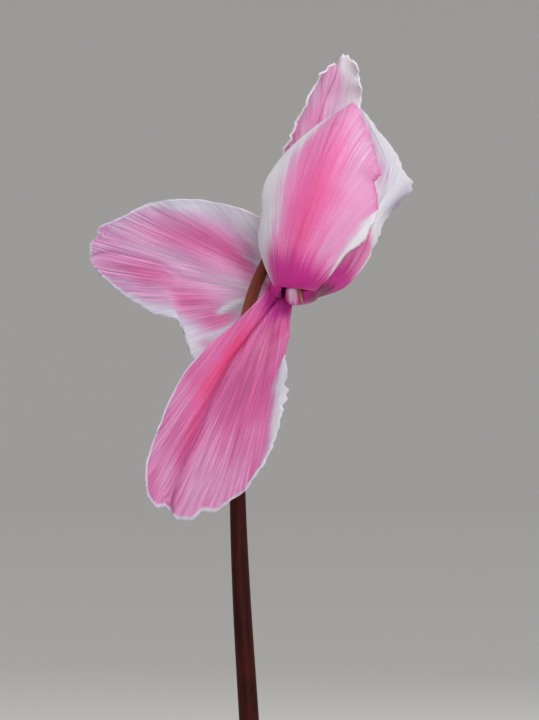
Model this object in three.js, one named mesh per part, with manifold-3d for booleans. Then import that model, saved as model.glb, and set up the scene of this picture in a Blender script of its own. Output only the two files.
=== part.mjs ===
// A potted cyclamen: one open bloom and three nodding buds on arched stalks over a rosette of
// heart-shaped leaves, all grown from one flat tuber that sits half out of the soil in a clay pot.
// Millimetres, +Z up. The origin is the centre of the pot's flat foot, and the bloom faces -Y.

import * as THREE from "three";
import { mergeVertices } from "three/addons/utils/BufferGeometryUtils.js";
import Module from "manifold-3d";

const wasm = await Module();
wasm.setup();

// ---------------------------------------------------------------- driving dimensions

const GAP = 0.3; // between neighbouring solids that touch on the real plant

const POT = {
  height: 110,
  footRadius: 41,
  neckRadius: 55,
  rimRadius: 62.5,
  rimHeight: 27,
  wall: 6,
  floor: 8,
  edge: 1.5,
  drainRadius: 4.5,
  drainCircle: 22,
  drains: 4,
  drainSides: 12,
  sides: 40,
};

const SOIL = { top: 96, crumb: 0.9, rings: [1, 0.9, 0.78, 0.66, 0.54], sides: 32 };

const TUBER = { radius: 27, halfHeight: 13.5, middle: 91.5, sides: 24 };

const CROWN_HOLE = { depth: 4, cutter: 20, sides: 8 }; // the hole that each stalk stands in

// Stalks spring from the crown in a spiral, the youngest in the middle: buds first, then leaves.
const SPIRAL = { turn: 137.508, spread: 3.5, first: 2 };

const LEAVES = {
  count: 18,
  seed: 11,
  inner: { reach: 28, height: 171, size: 29, tilt: 8 },
  outer: { reach: 80, height: 128, size: 44, tilt: 25 },
  thickness: 0.8,
  stalkRadius: 1.5,
  straight: 6.5, // how far a stalk rises out of its hole before it leans
  neck: 9, // how far below the blade it turns to meet it squarely
  ribs: 18, // points round the inner rings; the toothed edge has twice as many
  sinus: 12, // half the angle of the notch where the stalk joins, degrees
  tooth: 0.022,
  droop: 0.13,
  ripple: 0.035,
};

const BLOOM = { x: 7, y: -7, z: 296 }; // the middle of the flower's mouth

const TUBE = { mouthRadius: 5, length: 7.5, wall: 0.9, lean: 20, roll: 10.6, sides: 20 };

const CALYX = { sepals: 5, discRadius: 2.2, disc: 1.2, thickness: 0.6 };

const PETAL = { thickness: 0.7, rows: 18, columns: 8, waves: 4.5, ruffle: 0.5, tooth: 0.3 };

// Each petal is a skin over three rails that run from the tube's rim to the petal's tip. A station
// is [left rail], [middle], [right rail] as seen from the front, from the middle of the mouth.
// The rim angles are 0 at the right and 90 at the far side. Notches are [place across the tip,
// depth], and a crease is [place across, depth].
const PETALS = {
  front: {
    rim: { from: -150, to: -40, depth: 0.8, outward: 0 },
    notches: [],
    crease: [-0.3, 0.5],
    stations: [
      [[-4.9, -3.4, 1.7], [-0.6, -6.4, 1.0], [4.5, -5.0, 0.7]],
      [[-6.0, -4.0, 6.7], [-0.1, -9.6, 5.9], [7.3, -7.2, 3.4]],
      [[-6.8, -3.8, 10.9], [0.5, -10.8, 10.6], [10.6, -7.8, 7.8]],
      [[-6.2, -3.0, 16.1], [1.9, -11.0, 15.7], [14.0, -7.4, 10.2]],
      [[-6.2, -2.2, 19.5], [3.5, -10.6, 20.1], [16.7, -6.2, 16.4]],
      [[-5.0, -1.2, 23.1], [5.3, -9.4, 24.5], [16.1, -5.0, 21.7]],
      [[-1.4, 0.0, 28.0], [7.3, -7.4, 28.9], [17.3, -4.6, 24.7]],
      [[4.4, 0.6, 33.2], [9.5, -4.6, 33.3], [15.2, -3.0, 30.2]],
      [[11.4, -0.6, 37.5], [12.4, -1.4, 37.7], [13.3, -1.6, 35.3]],
    ],
  },
  right: {
    rim: { from: -45, to: 35, depth: 1, outward: 0 },
    notches: [],
    crease: [0.3, 0.6],
    stations: [
      [[4.1, -3.2, 1.2], [5.0, -1.0, 0.2], [3.8, 2.2, -1.0]],
      [[6.6, -2.8, 3.8], [8.4, -1.0, 2.4], [10.0, 1.8, 1.1]],
      [[9.6, -2.8, 7.9], [12.2, -0.8, 6.5], [14.3, 2.0, 5.6]],
      [[11.0, -2.6, 12.3], [14.0, -0.6, 11.0], [16.7, 2.4, 10.4]],
      [[11.7, -2.2, 17.5], [15.4, -0.2, 16.4], [18.9, 3.4, 15.8]],
      [[11.8, -1.6, 22.9], [17.6, 0.6, 22.0], [23.7, 4.6, 21.0]],
      [[11.8, -0.6, 28.6], [17.0, 1.4, 27.5], [21.6, 4.6, 25.9]],
      [[11.8, 0.6, 33.6], [15.1, 2.2, 32.5], [18.3, 4.0, 31.3]],
      [[12.2, 1.4, 37.3], [13.3, 2.4, 37.2], [14.3, 3.2, 36.3]],
    ],
  },
  back: {
    rim: { from: 110, to: 30, depth: 2, outward: 0.4 },
    notches: [[0, 1.8]],
    crease: [0, 1.2],
    stations: [
      [[-2.4, 6.5, -0.5], [0.1, 8.5, -0.8], [3.3, 7.0, -0.7]],
      [[-4.2, 10.0, 6.5], [0.5, 13.0, 6.6], [5.9, 9.5, 6.5]],
      [[-5.2, 12.5, 14.7], [0.7, 15.5, 14.8], [8.8, 12.0, 14.7]],
      [[-4.4, 13.0, 21.6], [1.5, 16.5, 22.2], [10.9, 13.0, 22.5]],
      [[-2.4, 13.0, 27.8], [3.0, 17.0, 29.0], [12.1, 13.0, 29.4]],
      [[0.3, 12.8, 33.4], [4.8, 17.0, 34.7], [13.1, 12.6, 35.5]],
      [[2.7, 12.4, 38.9], [6.7, 16.6, 39.8], [14.0, 12.2, 40.5]],
      [[5.2, 12.0, 43.8], [8.7, 15.2, 44.4], [13.7, 12.0, 43.6]],
      [[7.2, 12.0, 46.6], [9.9, 14.0, 49.2], [13.1, 12.0, 46.6]],
    ],
  },
  left: {
    rim: { from: 165, to: 110, depth: 2.4, outward: 0.4 },
    notches: [[-0.6, 1.2]],
    crease: [0.75, -1.2],
    stations: [
      [[-5.0, 7.5, 3.4], [-5.4, 8.6, 1.4], [-5.8, 7.5, -1.3]],
      [[-4.2, 10.0, 8.9], [-8.2, 10.6, 2.4], [-7.8, 9.2, -4.9]],
      [[-5.0, 11.4, 14.2], [-12.3, 11.6, 4.3], [-11.1, 8.4, -9.4]],
      [[-9.7, 12.4, 17.1], [-17.2, 12.4, 6.2], [-15.7, 7.0, -12.8]],
      [[-16.4, 13.0, 18.9], [-22.5, 13.0, 8.1], [-19.9, 7.0, -13.3]],
      [[-23.4, 13.4, 19.3], [-27.8, 13.2, 9.4], [-23.0, 8.4, -5.7]],
      [[-29.5, 13.4, 18.4], [-33.1, 12.6, 10.0], [-28.3, 10.4, -4.0]],
      [[-35.4, 13.0, 15.4], [-37.7, 11.8, 9.8], [-35.5, 11.0, 0.8]],
      [[-39.4, 12.4, 13.6], [-41.5, 10.8, 8.3], [-39.2, 10.8, 4.1]],
    ],
  },
  lower: {
    rim: { from: 190, to: 75, depth: 0.3, outward: 0 },
    notches: [[-0.5, 1.8], [0.25, 1.3]],
    crease: [-0.25, 1.4],
    stations: [
      [[-5.0, -1.6, 0.8], [-2.4, 1.2, -0.2], [0.0, 2.0, -1.6]],
      [[-7.6, -2.6, -2.2], [-4.6, -0.6, -3.8], [-0.4, 0.0, -4.2]],
      [[-12.2, -4.6, -6.6], [-8.2, -3.2, -9.4], [-0.7, -2.6, -7.4]],
      [[-17.5, -6.8, -11.2], [-12.1, -5.4, -14.8], [-1.0, -4.4, -10.8]],
      [[-22.4, -8.2, -17.2], [-15.9, -6.2, -20.9], [-1.4, -5.6, -15.8]],
      [[-25.3, -8.8, -23.3], [-18.5, -6.0, -27.7], [-0.8, -5.6, -20.5]],
      [[-27.7, -8.8, -29.6], [-20.5, -5.6, -33.2], [-2.8, -6.0, -26.1]],
      [[-29.1, -8.4, -34.7], [-21.3, -5.2, -38.8], [-4.4, -6.0, -32.2]],
      [[-29.1, -7.6, -40.3], [-20.7, -4.8, -45.4], [-10.0, -5.4, -39.4]],
    ],
  },
};

// The flower stalk's middle line from the middle of the mouth: up from the tuber, past the left
// of the flower, and over in a tight hook that lets the flower nod.
const FLOWER_STALK = [
  [-5.4, 7, -150],
  [-7.0, 7, -115],
  [-8.9, 7, -85],
  [-10.3, 7, -62],
  [-11.1, 7, -42],
  [-11.2, 6.6, -26],
  [-10.4, 6.0, -11],
  [-8.5, 6.0, -1.6],
  [-7.3, 6.2, 2.0],
  [-5.5, 6.6, 6.0],
  [-3.7, 6.6, 9.8],
  [-1.9, 6.2, 12.6],
  [0.2, 5.2, 13.4],
];
const FLOWER_STALK_FOOT = { x: 2.5, y: 0, radius: 2.1, straight: 8 };
const FLOWER_STALK_TIP_RADIUS = 1.2;

const BUDS = [
  { reach: 9.5, height: 204, length: 19, radius: 3.5 },
  { reach: 10, height: 199, length: 16, radius: 3.1 },
  { reach: 11, height: 194, length: 13, radius: 2.7 },
];
const BUD = { hook: 4.5, stalkRadius: 1.3, straight: 8, sides: 15, rows: 7, twist: 150, fold: 0.16 };

// ---------------------------------------------------------------- finishes

const finish = (color, roughness) =>
  new THREE.MeshStandardMaterial({ color, roughness, metalness: 0 });

const FINISHES = {
  terracotta: finish("#b4673f", 0.9),
  soil: finish("#3a2a1e", 1.0),
  tuber: finish("#6a4a33", 0.9),
  leaf: finish("#3f6b3a", 0.55),
  stalk: finish("#6b3226", 0.6),
  petal: finish("#e070ac", 0.5),
  calyx: finish("#6f5a34", 0.6),
  stamens: finish("#c8b33a", 0.7),
};

// ---------------------------------------------------------------- solids from sheets and curves

const degrees = THREE.MathUtils.degToRad;
const vector = ([x, y, z]) => new THREE.Vector3(x, y, z);

/** A seeded stream of numbers between 0 and 1. */
function seededDraws(seed) {
  let state = seed;
  return () => {
    state = (state * 16807) % 2147483647;
    return state / 2147483647;
  };
}

/** The closed solid of a three.js geometry. */
function solidFrom(geometry) {
  const bare = geometry.clone();
  bare.deleteAttribute("normal");
  bare.deleteAttribute("uv");
  const merged = mergeVertices(bare, 1e-4);
  return new wasm.Manifold(
    new wasm.Mesh({
      numProp: 3,
      vertProperties: merged.getAttribute("position").array,
      triVerts: new Uint32Array(merged.index.array),
    }),
  );
}

/** A three.js geometry of a solid. */
function geometryFrom(solid) {
  const { vertProperties, triVerts } = solid.getMesh();
  const geometry = new THREE.BufferGeometry();
  geometry.setAttribute("position", new THREE.BufferAttribute(vertProperties, 3));
  geometry.setIndex(new THREE.BufferAttribute(triVerts, 1));
  geometry.computeVertexNormals();
  return geometry;
}

function namedMesh(name, geometry, material) {
  const mesh = new THREE.Mesh(geometry, material);
  mesh.name = name;
  return mesh;
}

/** Gives a sheet of points and triangles a thickness, with the same triangles on both faces. */
function thicken({ points, triangles }, thickness) {
  const normals = points.map(() => new THREE.Vector3());
  const edges = new Map();
  for (const [a, b, c] of triangles) {
    const across = points[b].clone().sub(points[a]);
    const normal = across.cross(points[c].clone().sub(points[a]));
    for (const corner of [a, b, c]) normals[corner].add(normal);
    for (const [from, to] of [[a, b], [b, c], [c, a]]) {
      if (!edges.delete(`${to},${from}`)) edges.set(`${from},${to}`, [from, to]);
    }
  }
  const count = points.length;
  const positions = [];
  for (const side of [0.5, -0.5]) {
    points.forEach((point, i) => {
      const moved = point.clone().addScaledVector(normals[i].clone().normalize(), side * thickness);
      positions.push(...moved.toArray());
    });
  }
  const faces = triangles.flatMap(([a, b, c]) => [a, b, c, c + count, b + count, a + count]);
  for (const [from, to] of edges.values()) {
    faces.push(from, from + count, to + count, from, to + count, to);
  }
  const geometry = new THREE.BufferGeometry();
  geometry.setAttribute("position", new THREE.Float32BufferAttribute(positions, 3));
  geometry.setIndex(faces);
  geometry.computeVertexNormals();
  return geometry;
}

/** A round stalk along a curve: a cylinder bent to it, with its radius given along the way. */
function stalkGeometry(curve, radiusAt, sides, steps) {
  const geometry = new THREE.CylinderGeometry(1, 1, 1, sides, steps);
  const { normals, binormals } = curve.computeFrenetFrames(steps);
  const position = geometry.getAttribute("position");
  for (let i = 0; i < position.count; i++) {
    const step = Math.round((position.getY(i) + 0.5) * steps);
    const radius = radiusAt(step / steps);
    const point = curve
      .getPointAt(step / steps)
      .addScaledVector(normals[step], radius * position.getX(i))
      .addScaledVector(binormals[step], -radius * position.getZ(i));
    position.setXYZ(i, point.x, point.y, point.z);
  }
  geometry.computeVertexNormals();
  return geometry;
}

/** A turned solid about +Z from a profile of [radius, height] that starts and ends on the axis. */
function turned(profile, sides) {
  const points = profile.map(([radius, height]) => new THREE.Vector2(radius, height));
  return new THREE.LatheGeometry(points, sides).rotateX(Math.PI / 2);
}

/** A cylinder that stands along +Z, about the origin. */
function uprightCylinder(radius, height, sides) {
  return new THREE.CylinderGeometry(radius, radius, height, sides).rotateX(Math.PI / 2);
}

// ---------------------------------------------------------------- pot, soil and tuber

function wallRadius(height) {
  const share = height / (POT.height - POT.rimHeight);
  return THREE.MathUtils.lerp(POT.footRadius, POT.neckRadius, share);
}

function innerRadius(height) {
  return wallRadius(height) - POT.wall;
}

function pot() {
  const { height, rimRadius, rimHeight, edge, floor, footRadius, sides } = POT;
  const underRim = height - rimHeight;
  const mouth = innerRadius(height);
  const profile = [
    [0, 0],
    [footRadius - edge, 0],
    [footRadius, edge],
    [wallRadius(underRim), underRim],
    [rimRadius - edge, underRim],
    [rimRadius, underRim + edge],
    [rimRadius, height - edge],
    [rimRadius - edge, height],
    [mouth + edge, height],
    [mouth, height - edge],
    [innerRadius(floor), floor],
    [0, floor],
  ];
  let body = solidFrom(turned(profile, sides));
  for (let i = 0; i < POT.drains; i++) {
    const angle = (2 * Math.PI * (i + 0.5)) / POT.drains;
    const drain = uprightCylinder(POT.drainRadius, 3 * floor, POT.drainSides).translate(
      POT.drainCircle * Math.cos(angle),
      POT.drainCircle * Math.sin(angle),
      0,
    );
    body = body.subtract(solidFrom(drain));
  }
  return namedMesh("pot", geometryFrom(body), FINISHES.terracotta);
}

/** Height of the tuber's surface above its middle at a distance from its axis. */
function crownHeight(radius) {
  return TUBER.halfHeight * Math.sqrt(1 - (radius / TUBER.radius) ** 2);
}

/** The flattened round tuber, or the hollow that it lies in where it is grown by a gap. */
function tuberSolid(gap) {
  const radii = [0.45, 0.8, 0.97].map((share) => share * TUBER.radius);
  const profile = [[0, TUBER.middle - TUBER.halfHeight - gap]];
  radii.forEach((r) => profile.push([r + gap, TUBER.middle - crownHeight(r) - gap]));
  profile.push([TUBER.radius + gap, TUBER.middle]);
  radii.reverse().forEach((r) => profile.push([r + gap, TUBER.middle + crownHeight(r) + gap]));
  profile.push([0, TUBER.middle + TUBER.halfHeight + gap]);
  return solidFrom(turned(profile, TUBER.sides));
}

function soil() {
  const bottom = POT.floor + GAP;
  const edge = innerRadius(SOIL.top) - GAP;
  const profile = [[0, bottom], [innerRadius(bottom) - GAP, bottom]];
  for (const share of SOIL.rings) profile.push([share * edge, SOIL.top]);
  profile.push([0, SOIL.top]);
  const geometry = turned(profile, SOIL.sides);
  const position = geometry.getAttribute("position");
  for (let i = 0; i < position.count; i++) {
    const [x, y, z] = [position.getX(i), position.getY(i), position.getZ(i)];
    if (z < SOIL.top - 1 || Math.hypot(x, y) > 0.95 * edge) continue;
    const crumb = Math.sin(0.9 * x + 1.3) * Math.cos(0.8 * y) + Math.sin(0.5 * (x + y));
    position.setZ(i, z + SOIL.crumb * crumb);
  }
  const body = solidFrom(geometry).subtract(tuberSolid(GAP));
  return namedMesh("soil", geometryFrom(body), FINISHES.soil);
}

/** A place on the crown's spiral, counted from the middle outwards. */
function crownPlace(count) {
  const foot = SPIRAL.spread * Math.sqrt(count + SPIRAL.first);
  const azimuth = degrees(SPIRAL.turn * (count + 1));
  return { foot, azimuth, start: footHeight(foot) };
}

/** Height at which a stalk stands in its hole in the crown, at a distance from the axis. */
function footHeight(radius) {
  return TUBER.middle + crownHeight(radius) - CROWN_HOLE.depth + GAP;
}

function tuber() {
  const { x, y, radius } = FLOWER_STALK_FOOT;
  const feet = [{ x, y, radius }];
  for (let count = 0; count < BUDS.length + LEAVES.count; count++) {
    const { foot, azimuth } = crownPlace(count);
    feet.push({
      x: foot * Math.cos(azimuth),
      y: foot * Math.sin(azimuth),
      radius: count < BUDS.length ? BUD.stalkRadius : LEAVES.stalkRadius,
    });
  }
  let body = tuberSolid(0);
  for (const stalk of feet) {
    const bottom = footHeight(Math.hypot(stalk.x, stalk.y)) - GAP;
    const hole = uprightCylinder(stalk.radius + GAP, CROWN_HOLE.cutter, CROWN_HOLE.sides);
    hole.translate(stalk.x, stalk.y, bottom + CROWN_HOLE.cutter / 2);
    body = body.subtract(solidFrom(hole));
  }
  return namedMesh("tuber", geometryFrom(body), FINISHES.tuber);
}

// ---------------------------------------------------------------- leaves

/** Where each leaf stands: the first are high in the middle, the last low at the rim. */
function leafPlans() {
  const draw = seededDraws(LEAVES.seed);
  const { count, inner, outer } = LEAVES;
  return Array.from({ length: count }, (_, i) => {
    const between = (key) => THREE.MathUtils.lerp(inner[key], outer[key], i / (count - 1));
    return {
      ...crownPlace(BUDS.length + i),
      reach: between("reach") * (0.97 + 0.06 * draw()),
      height: between("height"),
      size: between("size") * (0.93 + 0.14 * draw()),
      tilt: degrees(between("tilt") + 6 * (draw() - 0.5)),
      yaw: degrees(24 * (draw() - 0.5)),
      phase: 2 * Math.PI * draw(),
    };
  });
}

/** The leaf's heart-shaped outline: its radius from the stalk, towards an angle from the tip. */
function leafRadius(angle, size) {
  const heart = 0.8 + 0.12 * Math.cos(angle) + 0.04 * Math.cos(2 * angle);
  const tip = 0.05 * Math.exp(-((angle / 0.22) ** 2));
  const notch = 1 - 0.35 * Math.exp(-(((Math.PI - Math.abs(angle)) / 0.3) ** 2));
  return size * (heart + tip) * notch;
}

/** A leaf blade's sheet: rings of points round the stalk's joint, the last one toothed. */
function leafSheet({ size, phase }) {
  const { ribs, tooth, droop, ripple } = LEAVES;
  const sinus = degrees(LEAVES.sinus);
  const rings = [
    { share: 0.45, parts: ribs },
    { share: 0.82, parts: ribs },
    { share: 1, parts: 2 * ribs },
  ];
  const points = [new THREE.Vector3(0, 0, 0)];
  const triangles = [];
  let before = null;
  for (const { share, parts } of rings) {
    const first = points.length;
    for (let i = 0; i <= parts; i++) {
      const angle = THREE.MathUtils.lerp(sinus - Math.PI, Math.PI - sinus, i / parts);
      const teeth = share === 1 ? 1 + tooth * (i % 2 ? -1 : 1) : 1;
      const radius = share * teeth * leafRadius(angle, size);
      const sag = droop * share ** 2 - ripple * share ** 3 * Math.cos(5 * angle + phase);
      points.push(vector([radius * Math.cos(angle), radius * Math.sin(angle), -sag * size]));
    }
    for (let i = 0; i < parts; i++) {
      const b = first + i;
      if (!before) triangles.push([0, b, b + 1]);
      else if (parts === before.parts) {
        const a = before.first + i;
        triangles.push([a, b, b + 1], [a, b + 1, a + 1]);
      } else if (i % 2 === 0) {
        const a = before.first + i / 2;
        triangles.push([a, b, b + 1], [a, b + 1, a + 1], [a + 1, b + 1, b + 2]);
      }
    }
    before = { first, parts };
  }
  return { points, triangles };
}

/** A leaf: its stalk rises from the crown, leans out and ends under the blade's joint. */
function leaf(plan, number) {
  const { azimuth, foot, start, reach, height, tilt, yaw } = plan;
  const label = String(number).padStart(2, "0");
  const joint = new THREE.Vector3(reach, 0, height);
  const up = new THREE.Vector3(Math.sin(tilt), 0, Math.cos(tilt));
  const along = (out, rise) => {
    const { lerp } = THREE.MathUtils;
    return new THREE.Vector3(lerp(foot, reach, out), 0, lerp(start, height, rise));
  };
  const course = new THREE.CatmullRomCurve3([
    along(0, 0),
    new THREE.Vector3(foot, 0, start + LEAVES.straight),
    along(0.34, 0.42),
    along(0.72, 0.76),
    joint.clone().addScaledVector(up, -LEAVES.neck),
    joint.clone().addScaledVector(up, -LEAVES.thickness / 2 - GAP),
  ]);
  const stalk = stalkGeometry(course, () => LEAVES.stalkRadius, 6, 10);
  const sheet = thicken(leafSheet(plan), LEAVES.thickness);
  const blade = namedMesh(`leaf_blade_${label}`, sheet, FINISHES.leaf);
  blade.position.copy(joint);
  blade.rotation.set(0, tilt, yaw, "YZX");
  const group = new THREE.Group();
  group.add(namedMesh(`leaf_stalk_${label}`, stalk, FINISHES.stalk), blade);
  group.rotation.z = azimuth;
  return group;
}

// ---------------------------------------------------------------- the bloom

/** The tube's lean: it turns +Z into the line from the flower's mouth back to its stalk. */
const LEAN = new THREE.Euler(-degrees(TUBE.lean), degrees(TUBE.roll), 0, "YXZ");

/** A point on or round the tube: an angle about its line, a radius and a depth behind the mouth. */
function tubePoint(angle, radius, depth) {
  const point = new THREE.Vector3(radius * Math.cos(angle), radius * Math.sin(angle), depth);
  return point.applyEuler(LEAN);
}

/** The corolla tube's outer radius at a distance behind the mouth. */
function tubeRadius(depth) {
  const share = depth / TUBE.length;
  return TUBE.mouthRadius + TUBE.wall / 2 - 0.4 * share - 2.3 * share ** 6;
}

/** The corolla's tube: a short round cup, open at the mouth. */
function tubeSolid() {
  const { length, wall } = TUBE;
  const profile = [[0, length - wall]];
  for (const share of [0.8, 0.6, 0.3, 0]) {
    profile.push([tubeRadius(share * length) - wall, share * length]);
  }
  for (const share of [0, 0.2, 0.5, 0.8, 0.93, 1]) {
    profile.push([tubeRadius(share * length), share * length]);
  }
  profile.push([0, length]);
  const lean = new THREE.Matrix4().makeRotationFromEuler(LEAN);
  return solidFrom(turned(profile, TUBE.sides).applyMatrix4(lean));
}

/** A petal's three rails, from its arc on the tube's rim to its tip. */
function petalRails({ rim, stations }) {
  return [rim.from, (rim.from + rim.to) / 2, rim.to].map((angle, side) => {
    const radius = TUBE.mouthRadius + rim.outward;
    const root = tubePoint(degrees(angle), radius, rim.depth);
    const points = [root, ...stations.map((station) => vector(station[side]))];
    return new THREE.CatmullRomCurve3(points, false, "catmullrom");
  });
}

/** A hump of height 1 at a place, down to nothing a quarter of the petal's half-width away. */
const hump = (v, at) => Math.max(0, 1 - Math.abs(v - at) / 0.25);

/** A point on a petal: v runs from -1 at the left margin to 1 at the right. */
function petalPoint(petal, rails, row, v) {
  const u = row / PETAL.rows;
  const [left, middle, right] = rails.map((rail) => rail.getPoint(u));
  const across = right.clone().sub(left).normalize();
  const point = left
    .multiplyScalar((v * (v - 1)) / 2)
    .addScaledVector(middle, 1 - v * v)
    .addScaledVector(right, (v * (v + 1)) / 2);
  const open = THREE.MathUtils.smoothstep(u, 0.1, 0.45);
  const wave = Math.sin(2 * Math.PI * PETAL.waves * u + 2 * v);
  const [creased, crease] = petal.crease;
  point.y += open * (PETAL.ruffle * v ** 4 * wave + crease * hump(v, creased));
  point.addScaledVector(across, open * PETAL.tooth * Math.sign(v) * v ** 8 * (row % 2 ? 1 : -1));
  if (row === PETAL.rows) {
    const tipward = rails[1].getTangent(1);
    for (const [at, depth] of petal.notches) point.addScaledVector(tipward, -depth * hump(v, at));
  }
  return point;
}

function petalSolid(petal) {
  const rails = petalRails(petal);
  const { rows, columns } = PETAL;
  const points = [];
  const triangles = [];
  for (let row = 0; row <= rows; row++) {
    for (let column = 0; column <= columns; column++) {
      points.push(petalPoint(petal, rails, row, (2 * column) / columns - 1));
      if (row === rows || column === columns) continue;
      const a = row * (columns + 1) + column;
      const b = a + columns + 1;
      triangles.push([a, a + 1, b + 1], [a, b + 1, b]);
    }
  }
  return solidFrom(thicken({ points, triangles }, PETAL.thickness));
}

/** The corolla is one piece: five petals that grow together into a short tube. */
function corolla() {
  let body = tubeSolid();
  for (const petal of Object.values(PETALS)) body = body.add(petalSolid(petal));
  return namedMesh("corolla", geometryFrom(body), FINISHES.petal);
}

/** A pointed sepal that lies along the tube, from the disc behind it. */
function sepalSolid(angle) {
  const { length } = TUBE;
  const { disc, thickness } = CALYX;
  const rows = [{ radius: 1.8, depth: length + GAP + 0.65 * disc, half: 0.5 }];
  for (const share of [0, 0.3, 0.65, 1]) {
    const depth = length * (0.93 - 0.45 * share);
    const radius = tubeRadius(depth) + 2 * GAP + thickness / 2;
    rows.push({ radius, depth, half: 0.08 + 0.52 * (1 - share ** 2) });
  }
  const points = [];
  const triangles = [];
  rows.forEach(({ radius, depth, half }, row) => {
    for (const side of [-half, 0, half]) points.push(tubePoint(angle + side, radius, depth));
    if (row === rows.length - 1) return;
    for (const a of [3 * row, 3 * row + 1]) triangles.push([a, a + 3, a + 4], [a, a + 4, a + 1]);
  });
  return solidFrom(thicken({ points, triangles }, thickness));
}

/** The calyx: five sepals on a small disc behind the tube. */
function calyx() {
  const { disc, discRadius, sepals } = CALYX;
  const lean = new THREE.Matrix4().makeRotationFromEuler(LEAN);
  const plate = uprightCylinder(discRadius, disc, 10)
    .translate(0, 0, TUBE.length + GAP + disc / 2)
    .applyMatrix4(lean);
  let body = solidFrom(plate);
  for (let i = 0; i < sepals; i++) body = body.add(sepalSolid((2 * Math.PI * i) / sepals));
  return namedMesh("calyx", geometryFrom(body), FINISHES.calyx);
}

/** The cone of stamens inside the tube, with the style's tip showing at the mouth. */
function stamens() {
  const root = TUBE.length - TUBE.wall - 2 * GAP;
  const profile = [
    [0, -2.2],
    [0.6, -1.8],
    [0.4, -1.2],
    [0.45, root - 5],
    [1.5, root - 3.4],
    [2.4, root - 1],
    [2.2, root],
    [0, root],
  ];
  const cone = namedMesh("stamens", turned(profile, 9), FINISHES.stamens);
  cone.rotation.copy(LEAN);
  return cone;
}

function flowerStalk() {
  const { x, y, radius, straight } = FLOWER_STALK_FOOT;
  const foot = footHeight(Math.hypot(x, y)) - BLOOM.z;
  const end = TUBE.length + GAP + CALYX.disc + GAP;
  const course = new THREE.CatmullRomCurve3([
    new THREE.Vector3(x - BLOOM.x, y - BLOOM.y, foot),
    new THREE.Vector3(x - BLOOM.x, y - BLOOM.y, foot + straight),
    ...FLOWER_STALK.map(vector),
    tubePoint(0, 0, end + 3),
    tubePoint(0, 0, end),
  ]);
  const radiusAt = (share) => {
    const tapering = THREE.MathUtils.smoothstep(share, 0.45, 0.97);
    return THREE.MathUtils.lerp(radius, FLOWER_STALK_TIP_RADIUS, tapering);
  };
  return namedMesh("flower_stalk", stalkGeometry(course, radiusAt, 10, 40), FINISHES.stalk);
}

function bloom() {
  const group = new THREE.Group();
  group.add(corolla(), calyx(), stamens(), flowerStalk());
  group.position.set(BLOOM.x, BLOOM.y, BLOOM.z);
  return group;
}

// ---------------------------------------------------------------- buds

/** A furled bud that hangs from the origin: five petals wound to a point. */
function budGeometry({ length, radius }) {
  const outline = (share) => radius * (1.02 - share ** 1.6) * Math.min(1, 0.62 + 5 * share);
  const profile = [[0, -length]];
  for (let row = BUD.rows; row >= 0; row--) {
    const share = Math.min(row / BUD.rows, 0.985);
    profile.push([outline(share), -length * share]);
  }
  profile.push([0, 0]);
  const geometry = turned(profile, BUD.sides);
  const position = geometry.getAttribute("position");
  for (let i = 0; i < position.count; i++) {
    const [x, y, z] = [position.getX(i), position.getY(i), position.getZ(i)];
    const share = -z / length;
    const fold = 1 + BUD.fold * Math.sin(share * Math.PI) * Math.cos(5 * Math.atan2(y, x));
    const point = new THREE.Vector3(x * fold, y * fold, z);
    point.applyAxisAngle(new THREE.Vector3(0, 0, 1), degrees(BUD.twist) * share);
    position.setXYZ(i, point.x, point.y, point.z);
  }
  geometry.computeVertexNormals();
  return geometry;
}

/** A bud on its arched stalk, whose end widens into the bud's cap. */
function bud(plan, number) {
  const { reach, height, radius } = plan;
  const { foot, azimuth, start } = crownPlace(number - 1);
  const { hook } = BUD;
  const top = height - hook;
  const at = (out, up) => new THREE.Vector3(out, 0, up);
  const course = new THREE.CatmullRomCurve3([
    at(foot, start),
    at(foot, start + BUD.straight),
    at((foot + reach) / 2, (start + top) / 2),
    at(reach, top),
    at(reach + 0.3 * hook, height - 0.3 * hook),
    at(reach + hook, height),
    at(reach + 1.7 * hook, height - 0.3 * hook),
    at(reach + 2 * hook, top + 1),
    at(reach + 2 * hook, top),
  ]);
  const radiusAt = (share) => {
    const widening = THREE.MathUtils.smoothstep(share, 0.965, 1);
    return THREE.MathUtils.lerp(BUD.stalkRadius, 0.75 * radius, widening);
  };
  const stalk = stalkGeometry(course, radiusAt, 7, 22);
  const head = namedMesh(`bud_${number}`, budGeometry(plan), FINISHES.petal);
  head.position.set(reach + 2 * hook, 0, top - GAP);
  const group = new THREE.Group();
  group.add(namedMesh(`bud_stalk_${number}`, stalk, FINISHES.stalk), head);
  group.rotation.z = azimuth;
  return group;
}

// ---------------------------------------------------------------- the whole plant

const plant = new THREE.Group();
plant.add(pot(), soil(), tuber(), bloom());
leafPlans().forEach((plan, i) => plant.add(leaf(plan, i + 1)));
BUDS.forEach((plan, i) => plant.add(bud(plan, i + 1)));

export default plant;
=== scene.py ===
"""A potted cyclamen: a bicolour bloom and nodding buds over a rosette of marbled leaves.

Sizes are in millimetres, in the plant's own frame: +Z up, the bloom facing -Y, the origin under
the middle of the pot's foot. Each finished mesh is turned to metres as it becomes a piece.
"""

import logging
import math
import random
from collections.abc import Callable, Iterator, Sequence
from dataclasses import dataclass
from enum import Enum

import bmesh
import bpy
from mathutils import Euler, Matrix, Vector, noise


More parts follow.
